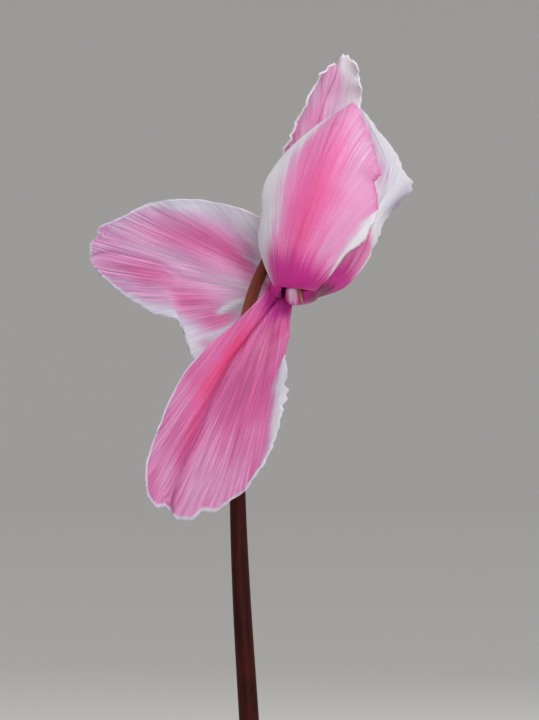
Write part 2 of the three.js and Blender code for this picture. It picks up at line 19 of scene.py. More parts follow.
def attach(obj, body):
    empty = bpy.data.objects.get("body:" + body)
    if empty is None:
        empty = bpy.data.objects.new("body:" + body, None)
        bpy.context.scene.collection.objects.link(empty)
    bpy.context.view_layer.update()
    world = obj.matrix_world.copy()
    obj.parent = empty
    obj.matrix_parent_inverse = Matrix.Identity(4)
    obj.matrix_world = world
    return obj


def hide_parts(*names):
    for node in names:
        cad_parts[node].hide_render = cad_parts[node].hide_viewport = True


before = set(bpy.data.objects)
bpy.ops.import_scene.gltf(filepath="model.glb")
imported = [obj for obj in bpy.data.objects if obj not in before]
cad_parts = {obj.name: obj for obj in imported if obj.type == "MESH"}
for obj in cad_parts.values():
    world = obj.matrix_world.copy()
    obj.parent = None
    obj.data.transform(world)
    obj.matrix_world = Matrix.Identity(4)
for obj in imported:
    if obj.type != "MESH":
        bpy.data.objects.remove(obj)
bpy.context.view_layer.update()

log = logging.getLogger("cyclamen")

MM = 0.001
BODY = "root"

# The middle of the bloom's mouth.
MOUTH = Vector((7, -7, 296))

# Every stalk stands in a hole in the tuber's crown, on a spiral of SPIRAL_TURN degrees from one to
# the next. The first place on it is SPIRAL_FIRST steps out, which leaves the middle to the bloom.
SPIRAL_TURN, SPIRAL_SPREAD, SPIRAL_FIRST = 137.508, 3.5, 2
TUBER_RADIUS, TUBER_HALF_HEIGHT, TUBER_MIDDLE = 27.0, 13.5, 91.5
STALK_HOLE_DEPTH = 3.7
SOIL_TOP = 96.0

# The main veins of a leaf, counted round its joint.
MAIN_VEINS = 9


class Slot(Enum):
    """The material slots."""

    TERRACOTTA = "terracotta"
    SOIL = "soil"
    TUBER = "tuber"
    LEAF = "leaf"
    STALK = "stalk"
    PETAL = "petal"
    CALYX = "calyx"
    STAMENS = "stamens"


# ------------------------------------------------------------------ small sums


def lerp(first: float, last: float, share: float) -> float:
    """A value a share of the way from first to last."""
    return first + (last - first) * share


def smoothstep(value: float, low: float, high: float) -> float:
    """0 below low, 1 above high and a smooth rise between."""
    share = min(1.0, max(0.0, (value - low) / (high - low)))
    return share * share * (3 - 2 * share)


def bell(value: float, middle: float, width: float) -> float:
    """A smooth hump of height 1 at the middle."""
    return math.exp(-(((value - middle) / width) ** 2))


def stepped(steps: Sequence[tuple[float, float]], at: float) -> float:
    """A value read between (place, value) steps, straight from one to the next.

    Args:
        steps: Places in rising order, each with its value.
        at: The place to read.

    Returns:
        The value there.
    """
    for (low, first), (high, last) in zip(steps, steps[1:]):
        if at <= high:
            return lerp(first, last, (at - low) / (high - low))
    return steps[-1][1]


def round_axis(angle: float, radius: float, height: float) -> Vector:
    """A point at an angle and a distance round the Z axis."""
    return Vector((radius * math.cos(angle), radius * math.sin(angle), height))


class Spacing(Enum):
    """How a rail shares out its parameter between its points."""

    EVEN = "even"
    CENTRIPETAL = "centripetal"


@dataclass(frozen=True)
class Rail:
    """A smooth curve through points."""

    points: tuple[Vector, ...]
    spacing: Spacing = Spacing.EVEN

    def at(self, share: float) -> Vector:
        """Reads the curve.

        Args:
            share: How far along it, from 0 to 1.

        Returns:
            The point there.
        """
        last = len(self.points) - 1
        span = min(int(share * last), last - 1)
        t = share * last - span
        p1, p2 = self.points[span], self.points[span + 1]
        p0 = self.points[span - 1] if span else 2 * p1 - p2
        p3 = self.points[span + 2] if span + 2 <= last else 2 * p2 - p1
        if self.spacing is Spacing.EVEN:
            before, after = (p2 - p0) / 2, (p3 - p1) / 2
        else:
            d0, d1, d2 = ((b - a).length ** 0.5 for a, b in ((p0, p1), (p1, p2), (p2, p3)))
            before = ((p1 - p0) / d0 - (p2 - p0) / (d0 + d1) + (p2 - p1) / d1) * d1
            after = ((p2 - p1) / d1 - (p3 - p1) / (d1 + d2) + (p3 - p2) / d2) * d1
        rise = t * t * (3 - 2 * t)
        ends = p1 * (1 - rise) + p2 * rise
        return ends + before * (t * (1 - t) ** 2) - after * (t * t * (1 - t))

    def evenly(self, steps: int) -> list[Vector]:
        """Steps along the curve.

        Args:
            steps: How many steps.

        Returns:
            Points along it at equal distances, both ends with them.
        """
        fine = [self.at(i / (8 * steps)) for i in range(8 * steps + 1)]
        walked = [0.0]
        for a, b in zip(fine, fine[1:]):
            walked.append(walked[-1] + (b - a).length)
        found, span = [], 0
        for step in range(steps + 1):
            goal = walked[-1] * step / steps
            while span < len(fine) - 2 and walked[span + 1] < goal:
                span += 1
            share = (goal - walked[span]) / (walked[span + 1] - walked[span])
            found.append(fine[span].lerp(fine[span + 1], min(1.0, share)))
        return found


# ------------------------------------------------------------------ meshes and pieces


def new_mesh() -> bmesh.types.BMesh:
    """An empty mesh with a UV map."""
    bm = bmesh.new()
    bm.loops.layers.uv.new("UVMap")
    return bm


def new_sheet(bm: bmesh.types.BMesh, columns: int, rows: int) -> list[bmesh.types.BMVert]:
    """Adds a square grid with a UV map: x and y run from -1 to 1, ready to be moved into place."""
    made = bmesh.ops.create_grid(bm, x_segments=columns, y_segments=rows, size=1, calc_uvs=True)
    return made["verts"]


def rolled_sheet(
    bm: bmesh.types.BMesh, columns: int, rows: int
) -> Iterator[tuple[bmesh.types.BMVert, float, float]]:
    """Adds a sheet that is to be rolled round an axis.

    Args:
        bm: The mesh that it joins.
        columns: Its faces round the axis.
        rows: Its faces along the axis.

    Yields:
        Each point, with its angle round the axis and its share of the way along.
    """
    for vert in new_sheet(bm, columns, rows):
        yield vert, math.pi * vert.co.x, (vert.co.y + 1) / 2


def lay_map(bm: bmesh.types.BMesh, flat: dict[bmesh.types.BMVert, tuple[float, float]]) -> None:
    """Gives points their places on the mesh's map.

    Args:
        bm: The mesh.
        flat: Each point with its place.
    """
    uv = bm.loops.layers.uv.active
    for vert, place in flat.items():
        for loop in vert.link_loops:
            loop[uv].uv = place


Layers = list[bmesh.types.BMLayerItem]


def number_layers(bm: bmesh.types.BMesh, names: Sequence[str]) -> Layers:
    """Lets each point of a mesh carry a number under each name."""
    return [bm.verts.layers.float.new(name) for name in names]


def carry(vert: bmesh.types.BMVert, layers: Layers, numbers: Sequence[float]) -> None:
    """Gives a point the numbers that it carries."""
    for layer, number in zip(layers, numbers):
        vert[layer] = number


def weld(bm: bmesh.types.BMesh, verts: list[bmesh.types.BMVert], distance: float = 0.001) -> None:
    """Closes the seams and poles of what was just placed."""
    bmesh.ops.remove_doubles(bm, verts=verts, dist=distance)


def open_edges(bm: bmesh.types.BMesh) -> list[bmesh.types.BMEdge]:
    """A mesh's edges with a face on one side alone."""
    return [edge for edge in bm.edges if edge.is_boundary]


def turn_profile(bm: bmesh.types.BMesh, profile: Sequence[tuple[float, float]], steps: int) -> None:
    """Turns a profile once round the Z axis, as on a wheel.

    Args:
        bm: The mesh that it joins.
        profile: Its corners, each a radius and a height.
        steps: Faces round the axis.
    """
    corners = [bm.verts.new((radius, 0, height)) for radius, height in profile]
    wire = [bm.edges.new(pair) for pair in zip(corners, corners[1:])]
    bmesh.ops.spin(
        bm,
        geom=corners + wire,
        cent=(0, 0, 0),
        axis=(0, 0, 1),
        angle=2 * math.pi,
        steps=steps,
        use_merge=True,
    )
    weld(bm, bm.verts[:])


def sleeve(
    bm: bmesh.types.BMesh,
    course: Sequence[Vector],
    radius: Callable[[float], float],
    sides: int,
) -> None:
    """Adds a round stalk along a course, closed at both ends.

    Args:
        bm: The mesh that it joins.
        course: Evenly spaced points on its middle line.
        radius: Its radius at a share of the way along.
        sides: Points round it.
    """
    steps = len(course) - 1
    frames = []
    normal = Vector((1, 0, 0))
    for i in range(steps + 1):
        tangent = (course[min(i + 1, steps)] - course[max(i - 1, 0)]).normalized()
        normal = (normal - tangent * normal.dot(tangent)).normalized()
        frames.append((course[i], normal.copy(), tangent.cross(normal)))
    own = new_mesh()
    for vert, angle, share in rolled_sheet(own, sides, steps):
        step = round(share * steps)
        middle, across, up = frames[step]
        reach = radius(step / steps)
        vert.co = middle + reach * (math.cos(angle) * across + math.sin(angle) * up)
    weld(own, own.verts[:])
    bmesh.ops.holes_fill(own, edges=open_edges(own), sides=0)
    bmesh.ops.recalc_face_normals(own, faces=own.faces)
    carrier = bpy.data.meshes.new("carrier")
    own.to_mesh(carrier)
    own.free()
    bm.from_mesh(carrier)
    bpy.data.meshes.remove(carrier)


def make_piece(
    bm: bmesh.types.BMesh,
    name: str,
    materials: Sequence[bpy.types.Material],
    nodes: Sequence[str] = (),
) -> bpy.types.Object:
    """Turns a mesh in millimetres into a piece of the plant.

    Args:
        bm: The mesh, which is freed.
        name: The piece's name.
        materials: Its materials, in the order of its faces' material numbers.
        nodes: The solids that it stands for.

    Returns:
        The piece's object.
    """
    bmesh.ops.scale(bm, vec=Vector((MM, MM, MM)), verts=bm.verts)
    piece = make_object(bm, name, materials)
    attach(piece, BODY)
    if nodes:
        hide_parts(*nodes)
    log.info("%s: %d faces", name, len(piece.data.polygons))
    return piece


def make_object(
    bm: bmesh.types.BMesh, name: str, materials: Sequence[bpy.types.Material] = ()
) -> bpy.types.Object:
    """Puts a mesh in metres into the scene, smoothly shaded.

    Args:
        bm: The mesh, which is freed.
        name: The object's name, and its mesh's.
        materials: Its materials.

    Returns:
        The object.
    """
    for face in bm.faces:
        face.smooth = True
    mesh = bpy.data.meshes.new(name)
    bm.to_mesh(mesh)
    bm.free()
    for material in materials:
        mesh.materials.append(material)
    made = bpy.data.objects.new(name, mesh)
    bpy.context.scene.collection.objects.link(made)
    return made


def make_stalk(
    name: str,
    node: str,
    course: Sequence[Vector],
    radius: Callable[[float], float],
    sides: int,
    skin: bpy.types.Material,
) -> None:
    """Makes a stalk as a piece of its own.

    Args:
        name: The piece's name.
        node: The solid that it stands for.
        course: Evenly spaced points on its middle line.
        radius: Its radius at a share of the way along.
        sides: Points round it.
        skin: Its material.
    """
    bm = new_mesh()
    sleeve(bm, course, radius, sides)
    make_piece(bm, name, [skin], [node])


def give_thickness(piece: bpy.types.Object, thickness: float, underside: int = 0) -> None:
    """Makes a sheet solid, half its thickness to each side.

    Args:
        piece: The sheet.
        thickness: In millimetres.
        underside: How many materials further the back's material is.
    """
    solid = piece.modifiers.new("thickness", "SOLIDIFY")
    solid.thickness = thickness * MM
    solid.offset = 0
    solid.use_even_offset = False
    solid.use_quality_normals = True
    solid.material_offset = underside


# ------------------------------------------------------------------ finishes

Socket = bpy.types.NodeSocket

# The Mix node's colour sockets.
FACTOR, FIRST, SECOND, MIXED = 0, 6, 7, 2

# A wave texture runs through this many radians over a length of 1.
WAVE_RADIANS = 20

# The numbers that a petal's mesh carries for its paint; the fourth is painted shade.
PAINTS = ("white", "depth", "eye", "dusk", "reach")


def linear(code: str) -> tuple[float, float, float, float]:
    """Turns a colour to what a shader takes.

    Args:
        code: The colour as an sRGB hex code.

    Returns:
        It as a linear colour, opaque.
    """
    channels = []
    for i in (1, 3, 5):
        value = int(code[i : i + 2], 16) / 255
        channels.append(value / 12.92 if value <= 0.04045 else ((value + 0.055) / 1.055) ** 2.4)
    return (*channels, 1.0)


def per_metre(size: float) -> float:
    """A pattern's scale, on coordinates in metres, for features of this size in millimetres."""
    return 1 / (size * MM)


class Recipe:
    """A material in the making, with a short name for each node that the finishes share."""

    def __init__(self, name: str) -> None:
        """Starts a material with an empty tree."""
        self.material = bpy.data.materials.new(name)
        self.material.use_nodes = True
        self.tree = self.material.node_tree
        self.tree.nodes.clear()

    def add(
        self, kind: str, inputs: dict[object, object], output: object = 0, **settings: object
    ) -> Socket | None:
        """Adds a node.

        Args:
            kind: The node's type, without its ShaderNode prefix.
            inputs: For each input, by name or number, a value or the socket that feeds it.
            output: The output wanted, by name or number.
            settings: The node's own properties.

        Returns:
            That output, or None from a node that has none.
        """
        node = self.tree.nodes.new("ShaderNode" + kind)
        for name, value in settings.items():
            setattr(node, name, value)
        for key, value in inputs.items():
            if isinstance(value, Socket):
                self.tree.links.new(value, node.inputs[key])
            else:
                node.inputs[key].default_value = value
        return node.outputs[output] if len(node.outputs) else None

    def place(self) -> Socket:
        """The place on the plant, in metres."""
        return self.add("TexCoord", {}, "Object")

    def flat(self) -> Socket:
        """The place on the piece's own map."""
        return self.add("UVMap", {}, uv_map="UVMap")

    def axis(self, vector: Socket, name: str) -> Socket:
        """One axis of a vector."""
        return self.add("SeparateXYZ", {0: vector}, name)

    def carried(self, name: str) -> Socket:
        """A number that the mesh carries at each point."""
        return self.add("Attribute", {}, "Fac", attribute_name=name)

    def noise(
        self,
        place: Socket,
        size: float,
        detail: float = 4.0,
        roughness: float = 0.5,
        stretch: float = 1.0,
    ) -> Socket:
        """Noise about 0.5.

        Args:
            place: The coordinates, in metres.
            size: Of its features, in millimetres.
            detail: How many finer layers it has.
            roughness: How strong those are.
            stretch: How many times longer than wide its features are along Y.

        Returns:
            The noise.
        """
        if stretch != 1:
            place = self.add("Mapping", {"Vector": place, "Scale": (1, 1 / stretch, 1)})
        inputs = {"Vector": place, "Scale": per_metre(size), "Detail": detail}
        return self.add("TexNoise", inputs | {"Roughness": roughness}, "Fac")

    def cells(self, place: Socket, size: float) -> Socket:
        """The distance to the nearest wall of a net of cells of this size in millimetres."""
        inputs = {"Vector": place, "Scale": per_metre(size)}
        return self.add("TexVoronoi", inputs, "Distance", feature="DISTANCE_TO_EDGE")

    def sum(self, operation: str, *values: object) -> Socket:
        """A Math node on up to three values."""
        return self.add("Math", dict(enumerate(values)), operation=operation)

    def stir(self, base: object, *noises: tuple[Socket, float]) -> Socket:
        """Adds noises to a value, each about its middle.

        Args:
            base: The value or its socket.
            noises: Each noise with its weight.

        Returns:
            The stirred value.
        """
        for noise_value, weight in noises:
            base = self.sum("MULTIPLY_ADD", noise_value, weight, base)
        return self.sum("SUBTRACT", base, sum(weight for _, weight in noises) / 2)

    def ramp(self, value: Socket, low: float, high: float, top: float = 1.0) -> Socket:
        """A smooth rise from 0 at low to top at high, or a fall where high is the lower."""
        inputs = {"Value": value, "From Min": low, "From Max": high, "To Max": top}
        return self.add("MapRange", inputs, interpolation_type="SMOOTHSTEP")

    def blend(self, share: object, first: object, second: object, mode: str = "MIX") -> Socket:
        """Lays one colour over another.

        Args:
            share: How much of the second shows, as a number or a socket.
            first: The colour below, as a hex code or a socket.
            second: The colour over it.
            mode: How they mix, as the Mix node names it.

        Returns:
            The mixed colour.
        """
        colours = [linear(c) if isinstance(c, str) else c for c in (first, second)]
        inputs = {FACTOR: share, FIRST: colours[0], SECOND: colours[1]}
        return self.add("Mix", inputs, MIXED, data_type="RGBA", blend_type=mode)

    def bump(
        self, height: Socket, depth: float, strength: float, under: Socket | None = None
    ) -> Socket:
        """Relief of this depth in millimetres, over another relief if there is one."""
        inputs = {"Height": height, "Distance": depth * MM, "Strength": strength}
        return self.add("Bump", inputs | ({"Normal": under} if under else {}))

    def close(self, colour: Socket, normal: Socket, **surface: object) -> bpy.types.Material:
        """Ends the material in one surface shader.

        Args:
            colour: The surface's colour.
            normal: Its relief.
            surface: The shader's other inputs, with _ for each space in their names.

        Returns:
            The material.
        """
        inputs = {name.replace("_", " "): value for name, value in surface.items()}
        shader = self.add("BsdfPrincipled", {"Base Color": colour, "Normal": normal} | inputs)
        self.add("OutputMaterial", {"Surface": shader})
        return self.material


@dataclass(frozen=True)
class UnglazedTerracotta:
    """Fired earthenware, wheel-thrown and left bare: matt, with lime bloom where water dries."""

    clay: str = "#b8683f"
    deep: str = "#964c2d"
    lime: str = "#d8c4ae"
    damp: str = "#7c3b24"
    soot: str = "#6d4433"
    grit: float = 0.7
    cloud: float = 22.0
    patch: float = 16.0
    ring: float = 28.2743
    damp_top: float = 30.0
    belt: tuple[float, float] = (75.0, 12.0)
    lip: tuple[float, float] = (100.0, 112.0)

    def build(self) -> bpy.types.Material:
        """The clay's material, on Object coordinates."""
        mix = Recipe("unglazed_terracotta")
        place = mix.place()
        height = mix.axis(place, "Z")
        clouds = mix.noise(place, self.cloud, detail=6)
        grit = mix.noise(place, self.grit, detail=3)
        patches = mix.noise(place, self.patch, detail=8, roughness=0.65)
        body = mix.blend(clouds, self.clay, self.deep)
        body = mix.blend(mix.ramp(grit, 0.6, 0.72, 0.3), body, self.lime)
        body = mix.blend(mix.ramp(grit, 0.36, 0.26, 0.5), body, self.soot)
        # Water wicks up from the foot and darkens the clay, and its lime comes out above that.
        wet = mix.sum("MULTIPLY", mix.ramp(height, self.damp_top * MM, 0.0, 0.5), clouds)
        body = mix.blend(wet, body, self.damp)
        belt = mix.stir(mix.ramp(height, *(MM * z for z in self.belt)), (patches, 2.2))
        body = mix.blend(mix.ramp(belt, 0.6, 1.3, 0.42), body, self.lime)
        lip = mix.stir(mix.ramp(height, *(MM * z for z in self.lip)), (patches, 1.8))
        body = mix.blend(mix.ramp(lip, 0.7, 1.5, 0.5), body, self.lime)
        # The fingers leave a shallow ring at each turn of the wheel.
        rings = {"Scale": per_metre(self.ring) * 2 * math.pi / WAVE_RADIANS, "Vector": place}
        rings |= {"Distortion": 1.2, "Detail": 2.0, "Detail Scale": 0.4}
        thrown = mix.add("TexWave", rings, "Fac", bands_direction="Z")
        relief = mix.bump(thrown, 0.4, 0.25, mix.bump(grit, 0.4, 0.35))
        return mix.close(body, relief, Roughness=0.86)


@dataclass(frozen=True)
class MoistPeat:
    """Damp peat: almost black brown, with fibres and paler bits of root and bark."""

    dark: str = "#20140d"
    light: str = "#50382a"
    bark: str = "#6d4f38"
    fibre: float = 1.4
    chip: float = 4.0

    def build(self) -> bpy.types.Material:
        """The peat's material, on Object coordinates."""
        mix = Recipe("moist_peat")
        place = mix.place()
        fibres = mix.noise(place, self.fibre, detail=8, roughness=0.7)
        chips = mix.noise(place, self.chip, detail=2)
        colour = mix.blend(mix.ramp(fibres, 0.35, 0.75), self.dark, self.light)
        colour = mix.blend(mix.ramp(chips, 0.62, 0.72, 0.6), colour, self.bark)
        return mix.close(colour, mix.bump(fibres, 1.2, 0.9), Roughness=0.85)


@dataclass(frozen=True)
class Mottled:
    """A matt surface of two tones: expanded perlite, a sepal's tissue or ripe anthers."""

    name: str
    first: str
    second: str
    cloud: float
    grain: float

    def build(self) -> bpy.types.Material:
        """Its material, on Object coordinates."""
        mix = Recipe(self.name)
        place = mix.place()
        grain = mix.noise(place, self.grain)
        share = mix.ramp(mix.noise(place, self.cloud), 0.35, 0.65)
        colour = mix.blend(share, self.first, self.second)
        colour = mix.blend(mix.ramp(grain, 0.55, 0.7, 0.4), colour, self.first)
        return mix.close(colour, mix.bump(grain, 0.2, 0.5), Roughness=0.65)


@dataclass(frozen=True)
class CorkyTuberSkin:
    """The tuber's bark: dry brown cork, cracked into plates and dusted with peat."""

    cork: str = "#80604a"
    crack: str = "#2e1d13"
    peat: str = "#3a281c"
    plate: float = 3.2
    grain: float = 0.9
    dust: float = 9.0

    def build(self) -> bpy.types.Material:
        """The cork's material, on Object coordinates."""
        mix = Recipe("corky_tuber_skin")
        place = mix.place()
        grain = mix.noise(place, self.grain, detail=5)
        plates = mix.ramp(mix.cells(place, self.plate), 0.0, 0.14)
        worn = mix.sum("MULTIPLY", plates, mix.ramp(grain, 0.25, 0.7))
        colour = mix.blend(worn, self.crack, self.cork)
        dust = mix.noise(place, self.dust, detail=6)
        colour = mix.blend(mix.ramp(dust, 0.5, 0.65, 0.7), colour, self.peat)
        return mix.close(colour, mix.bump(worn, 0.8, 0.8), Roughness=0.9)


@dataclass(frozen=True)
class JuicyStalk:
    """A fleshy stalk's skin: satin, finely ribbed, paler or redder towards its end.

    Its map runs round the stalk and along it, both from 0 to 1, so the ribs are a number round
    the stalk and not a size. On the flower stalk the paler end is painted light, and the darker
    length below it partly its own colour and partly painted shade.
    """

    name: str
    skin: str
    shade: str
    top: str
    top_from: float
    top_full: float = 1.0
    blotch: float = 7.0
    speck: float = 0.35
    ribs: float = 22.0

    def build(self) -> bpy.types.Material:
        """The stalk's material, on Object coordinates and its map."""
        mix = Recipe(self.name)
        place, flat = mix.place(), mix.flat()
        blotches = mix.noise(place, self.blotch)
        specks = mix.noise(place, self.speck, detail=2)
        ribs = mix.noise(flat, 1 / (self.ribs * MM), detail=3, stretch=2.5)
        tone = mix.stir(0.5, (blotches, 0.8), (ribs, 1.2), (specks, 0.5))
        colour = mix.blend(mix.ramp(tone, 0.1, 0.9), self.shade, self.skin)
        # The end colour: the stalk's own on leaf and bud stalks, painted light on the flower stalk.
        end = mix.ramp(mix.axis(flat, "Y"), self.top_from, self.top_full, 0.85)
        end = mix.sum("MULTIPLY", end, mix.ramp(tone, -0.4, 0.8))
        colour = mix.blend(end, colour, self.top)
        relief = mix.bump(ribs, 0.3, 0.3, mix.bump(specks, 0.15, 0.35))
        return mix.close(
            colour,
            relief,
            Roughness=0.5,
            Specular_IOR_Level=0.12,
            Subsurface_Weight=0.1,
            Subsurface_Radius=(0.9, 0.4, 0.2),
            Subsurface_Scale=1.5 * MM,
        )


class LeafNet:
    """The veins that both faces of a leaf share: nine main ones and the net between them."""

    def __init__(self, mix: Recipe, coarse: float = 3.0, fine: float = 3.0 / 2.6) -> None:
        """Draws the veins on the leaf's map, from the share and angle that its mesh carries.

        Args:
            mix: The face's material.
            coarse: The size of the net's larger cells, in millimetres.
            fine: The size of the smaller cells in them.
        """
        self.flat = mix.flat()
        self.share = mix.carried("share")
        turned = mix.sum("MULTIPLY", mix.carried("angle"), float(MAIN_VEINS))
        self.lobes = mix.sum("COSINE", turned)
        small = mix.cells(self.flat, fine)
        large = mix.cells(self.flat, coarse)
        net = mix.sum("MAXIMUM", mix.ramp(large, 0.07, 0.0, 0.34), mix.ramp(small, 0.08, 0.0, 0.16))
        # A main vein is a thin wedge, wide at the joint and fine at the edge.
        wedge = mix.sum("MULTIPLY_ADD", self.share, 0.03, 0.955)
        aligned = mix.ramp(mix.sum("SUBTRACT", self.lobes, wedge), 0.0, 0.02)
        ribs = mix.sum("MULTIPLY", aligned, mix.ramp(self.share, 1.02, 0.1, 0.9))
        self.veins = mix.sum("MAXIMUM", ribs, net)


@dataclass(frozen=True)
class MarbledLeaf:
    """A waxy leaf's upper face: dark green, marbled silver between pale sunken veins.

    The mesh carries a mood from 0 to 1, the same all over a leaf: towards 1 the leaf is
    yellower, and its silver ring lies further in.
    """

    green: str = "#2f5a30"
    heart: str = "#1c4123"
    silver: str = "#a3b8a2"
    vein: str = "#94b482"
    edge: str = "#3d6236"
    aged: str = "#dfe2c4"
    mottle: float = 6.0
    cloud: float = 21.0

    def build(self) -> bpy.types.Material:
        """The material, with a silver ring that runs out along the veins and back between."""
        mix = Recipe("marbled_leaf_face")
        net = LeafNet(mix)
        mottle = mix.noise(net.flat, self.mottle, detail=5, roughness=0.62)
        clouds = mix.noise(net.flat, self.cloud, detail=2)
        bent = mix.sum("MULTIPLY_ADD", net.lobes, -0.06, net.share)
        mood = mix.carried("mood")
        ragged = mix.sum("MULTIPLY_ADD", mood, 0.16, mix.stir(bent, (mottle, 0.46), (clouds, 0.4)))
        outer = mix.ramp(ragged, 0.88, 0.72)
        ring = mix.sum("MULTIPLY", mix.ramp(ragged, 0.4, 0.5), outer)
        colour = mix.blend(mix.stir(net.share, (mottle, 1.2)), self.heart, self.green)
        flecks = mix.sum("MULTIPLY", ring, mix.stir(0.74, (mottle, 1.3)))
        colour = mix.blend(flecks, colour, self.silver)
        colour = mix.blend(mix.sum("MULTIPLY", net.veins, 0.8), colour, self.vein)
        colour = mix.blend(mix.ramp(net.share, 0.96, 1.0, 0.5), colour, self.edge)
        colour = mix.blend(mood, colour, self.aged, "MULTIPLY")
        sunk = mix.bump(mix.sum("MULTIPLY", net.veins, -1.0), 0.35, 0.7)
        return mix.close(
            colour,
            mix.bump(mottle, 0.6, 0.3, sunk),
            Roughness=0.46,
            Coat_Weight=0.1,
            Coat_Roughness=0.4,
            Subsurface_Weight=0.05,
            Subsurface_Scale=MM,
        )


@dataclass(frozen=True)
class LeafUnderside:
    """The leaf's lower face: pale green flushed wine-red, with the veins standing out."""

    green: str = "#728c5e"
    wine: str = "#703744"
    vein: str = "#8d4c52"
    cloud: float = 9.0

    def build(self) -> bpy.types.Material:
        """The material, on the same map and veins as the upper face."""
        mix = Recipe("leaf_underside")
        net = LeafNet(mix)
        cloud = mix.noise(net.flat, self.cloud, detail=5)
        flushed = mix.sum("MULTIPLY_ADD", net.share, -0.45, cloud)
        colour = mix.blend(mix.ramp(flushed, 0.0, 0.4), self.green, self.wine)
        colour = mix.blend(net.veins, colour, self.vein)
        return mix.close(colour, mix.bump(net.veins, 0.6, 0.7), Roughness=0.55)


@dataclass(frozen=True)
class BicolourPetal:
    """A petal's velvety skin: rose that deepens along its veins, white margins, magenta eye.

    The mesh carries five numbers: white, 1 at a white margin; depth, 0 for pale, 1 for rose
    and more for deep; eye, 1 in the magenta at the petal's base, and above that a deep magenta
    that is painted shade; the fourth, 1 where painted shade darkens the skin and turns it bluer,
    more so along the veins; and reach, which rises to 1 towards the tip, where the veins branch.
    The streaks and veins are drawn a little coarser than real ones, which would not show.
    """

    white: str = "#dfdde5"
    haze: str = "#d2b0cf"
    blush: str = "#e6d6e4"
    pale: str = "#de9cc8"
    rose: str = "#dc68a6"
    deep: str = "#da3f78"
    eye: str = "#cb2a94"
    # Deep magenta where the eye runs high: painted shade in the mouth and under the front petal's
    # lip.
    painted_shade_magenta: str = "#7c0d4d"
    # The tint of the painted shade, laid on by the mesh's fourth paint.
    dusk: str = "#b7c3cf"
    streak: tuple[float, float] = (0.95, 22.0)
    vein: tuple[float, float] = (0.34, 40.0)
    twig: tuple[float, float] = (0.36, 2.7)
    cloud: float = 7.0
    grain: float = 0.22

    def branching(
        self, mix: Recipe, flat: Socket, reach: Socket, strand: tuple[float, float]
    ) -> Socket:
        """Long strands that turn to finer ones towards the tip.

        Args:
            mix: The petal's material.
            flat: Its map.
            reach: The reach that the mesh carries.
            strand: A strand's width in millimetres and how many times longer it is.

        Returns:
            The strands, as noise about 0.5.
        """
        width, long = strand
        near = mix.noise(flat, width, 2, 0.55, long)
        finer, longer = self.twig
        far = mix.noise(flat, finer * width, 2, 0.55, longer * long)
        return mix.sum("MULTIPLY_ADD", reach, mix.sum("SUBTRACT", far, near), near)

    def build(self) -> bpy.types.Material:
        """The material: its map runs across a petal and along it, in metres."""
        mix = Recipe("bicolour_petal")
        flat = mix.flat()
        white, depth, eye, dusk, reach = (mix.carried(name) for name in PAINTS)
        streaks = self.branching(mix, flat, reach, self.streak)
        veins = self.branching(mix, flat, reach, self.vein)
        clouds = mix.noise(flat, self.cloud, detail=3, stretch=1.6)
        grain = mix.noise(mix.place(), self.grain, detail=2)
        ink = mix.stir(depth, (streaks, 1.1), (veins, 1.25), (clouds, 1.0), (grain, 0.6))
        colour = mix.blend(mix.ramp(ink, -0.55, 0.3), self.blush, self.pale)
        colour = mix.blend(mix.ramp(ink, 0.1, 1.05), colour, self.rose)
        colour = mix.blend(mix.ramp(ink, 0.95, 1.9), colour, self.deep)
        bare = mix.stir(white, (streaks, 1.1), (veins, 0.7), (clouds, 0.6))
        colour = mix.blend(mix.ramp(bare, 0.0, 0.45, 0.8), colour, self.haze)
        colour = mix.blend(mix.ramp(bare, 0.22, 0.72), colour, self.white)
        stain = mix.stir(eye, (streaks, 1.0), (veins, 0.5))
        colour = mix.blend(mix.ramp(stain, 0.05, 0.85), colour, self.eye)
        # Past 1.1 the eye turns to the deep magenta of painted shade.
        colour = mix.blend(mix.ramp(stain, 1.1, 2.0), colour, self.painted_shade_magenta)
        # Painted shade: the fourth paint darkens the skin and turns it bluer, more along the veins.
        painted_shade_amount = mix.sum("MULTIPLY", dusk, mix.ramp(veins, 0.05, 0.95, 2.0))
        colour = mix.blend(painted_shade_amount, colour, self.dusk, "MULTIPLY")
        relief = mix.bump(streaks, 0.32, 0.5, mix.bump(grain, 0.06, 0.4))
        return mix.close(
            colour,
            mix.bump(veins, 0.08, 0.45, relief),
            Roughness=0.48,
            Specular_IOR_Level=0.35,
            Subsurface_Weight=0.3,
            Subsurface_Radius=(1.0, 0.45, 0.6),
            Subsurface_Scale=1.2 * MM,
            Sheen_Weight=0.1,
            Sheen_Roughness=0.4,
        )


# ------------------------------------------------------------------ the pot


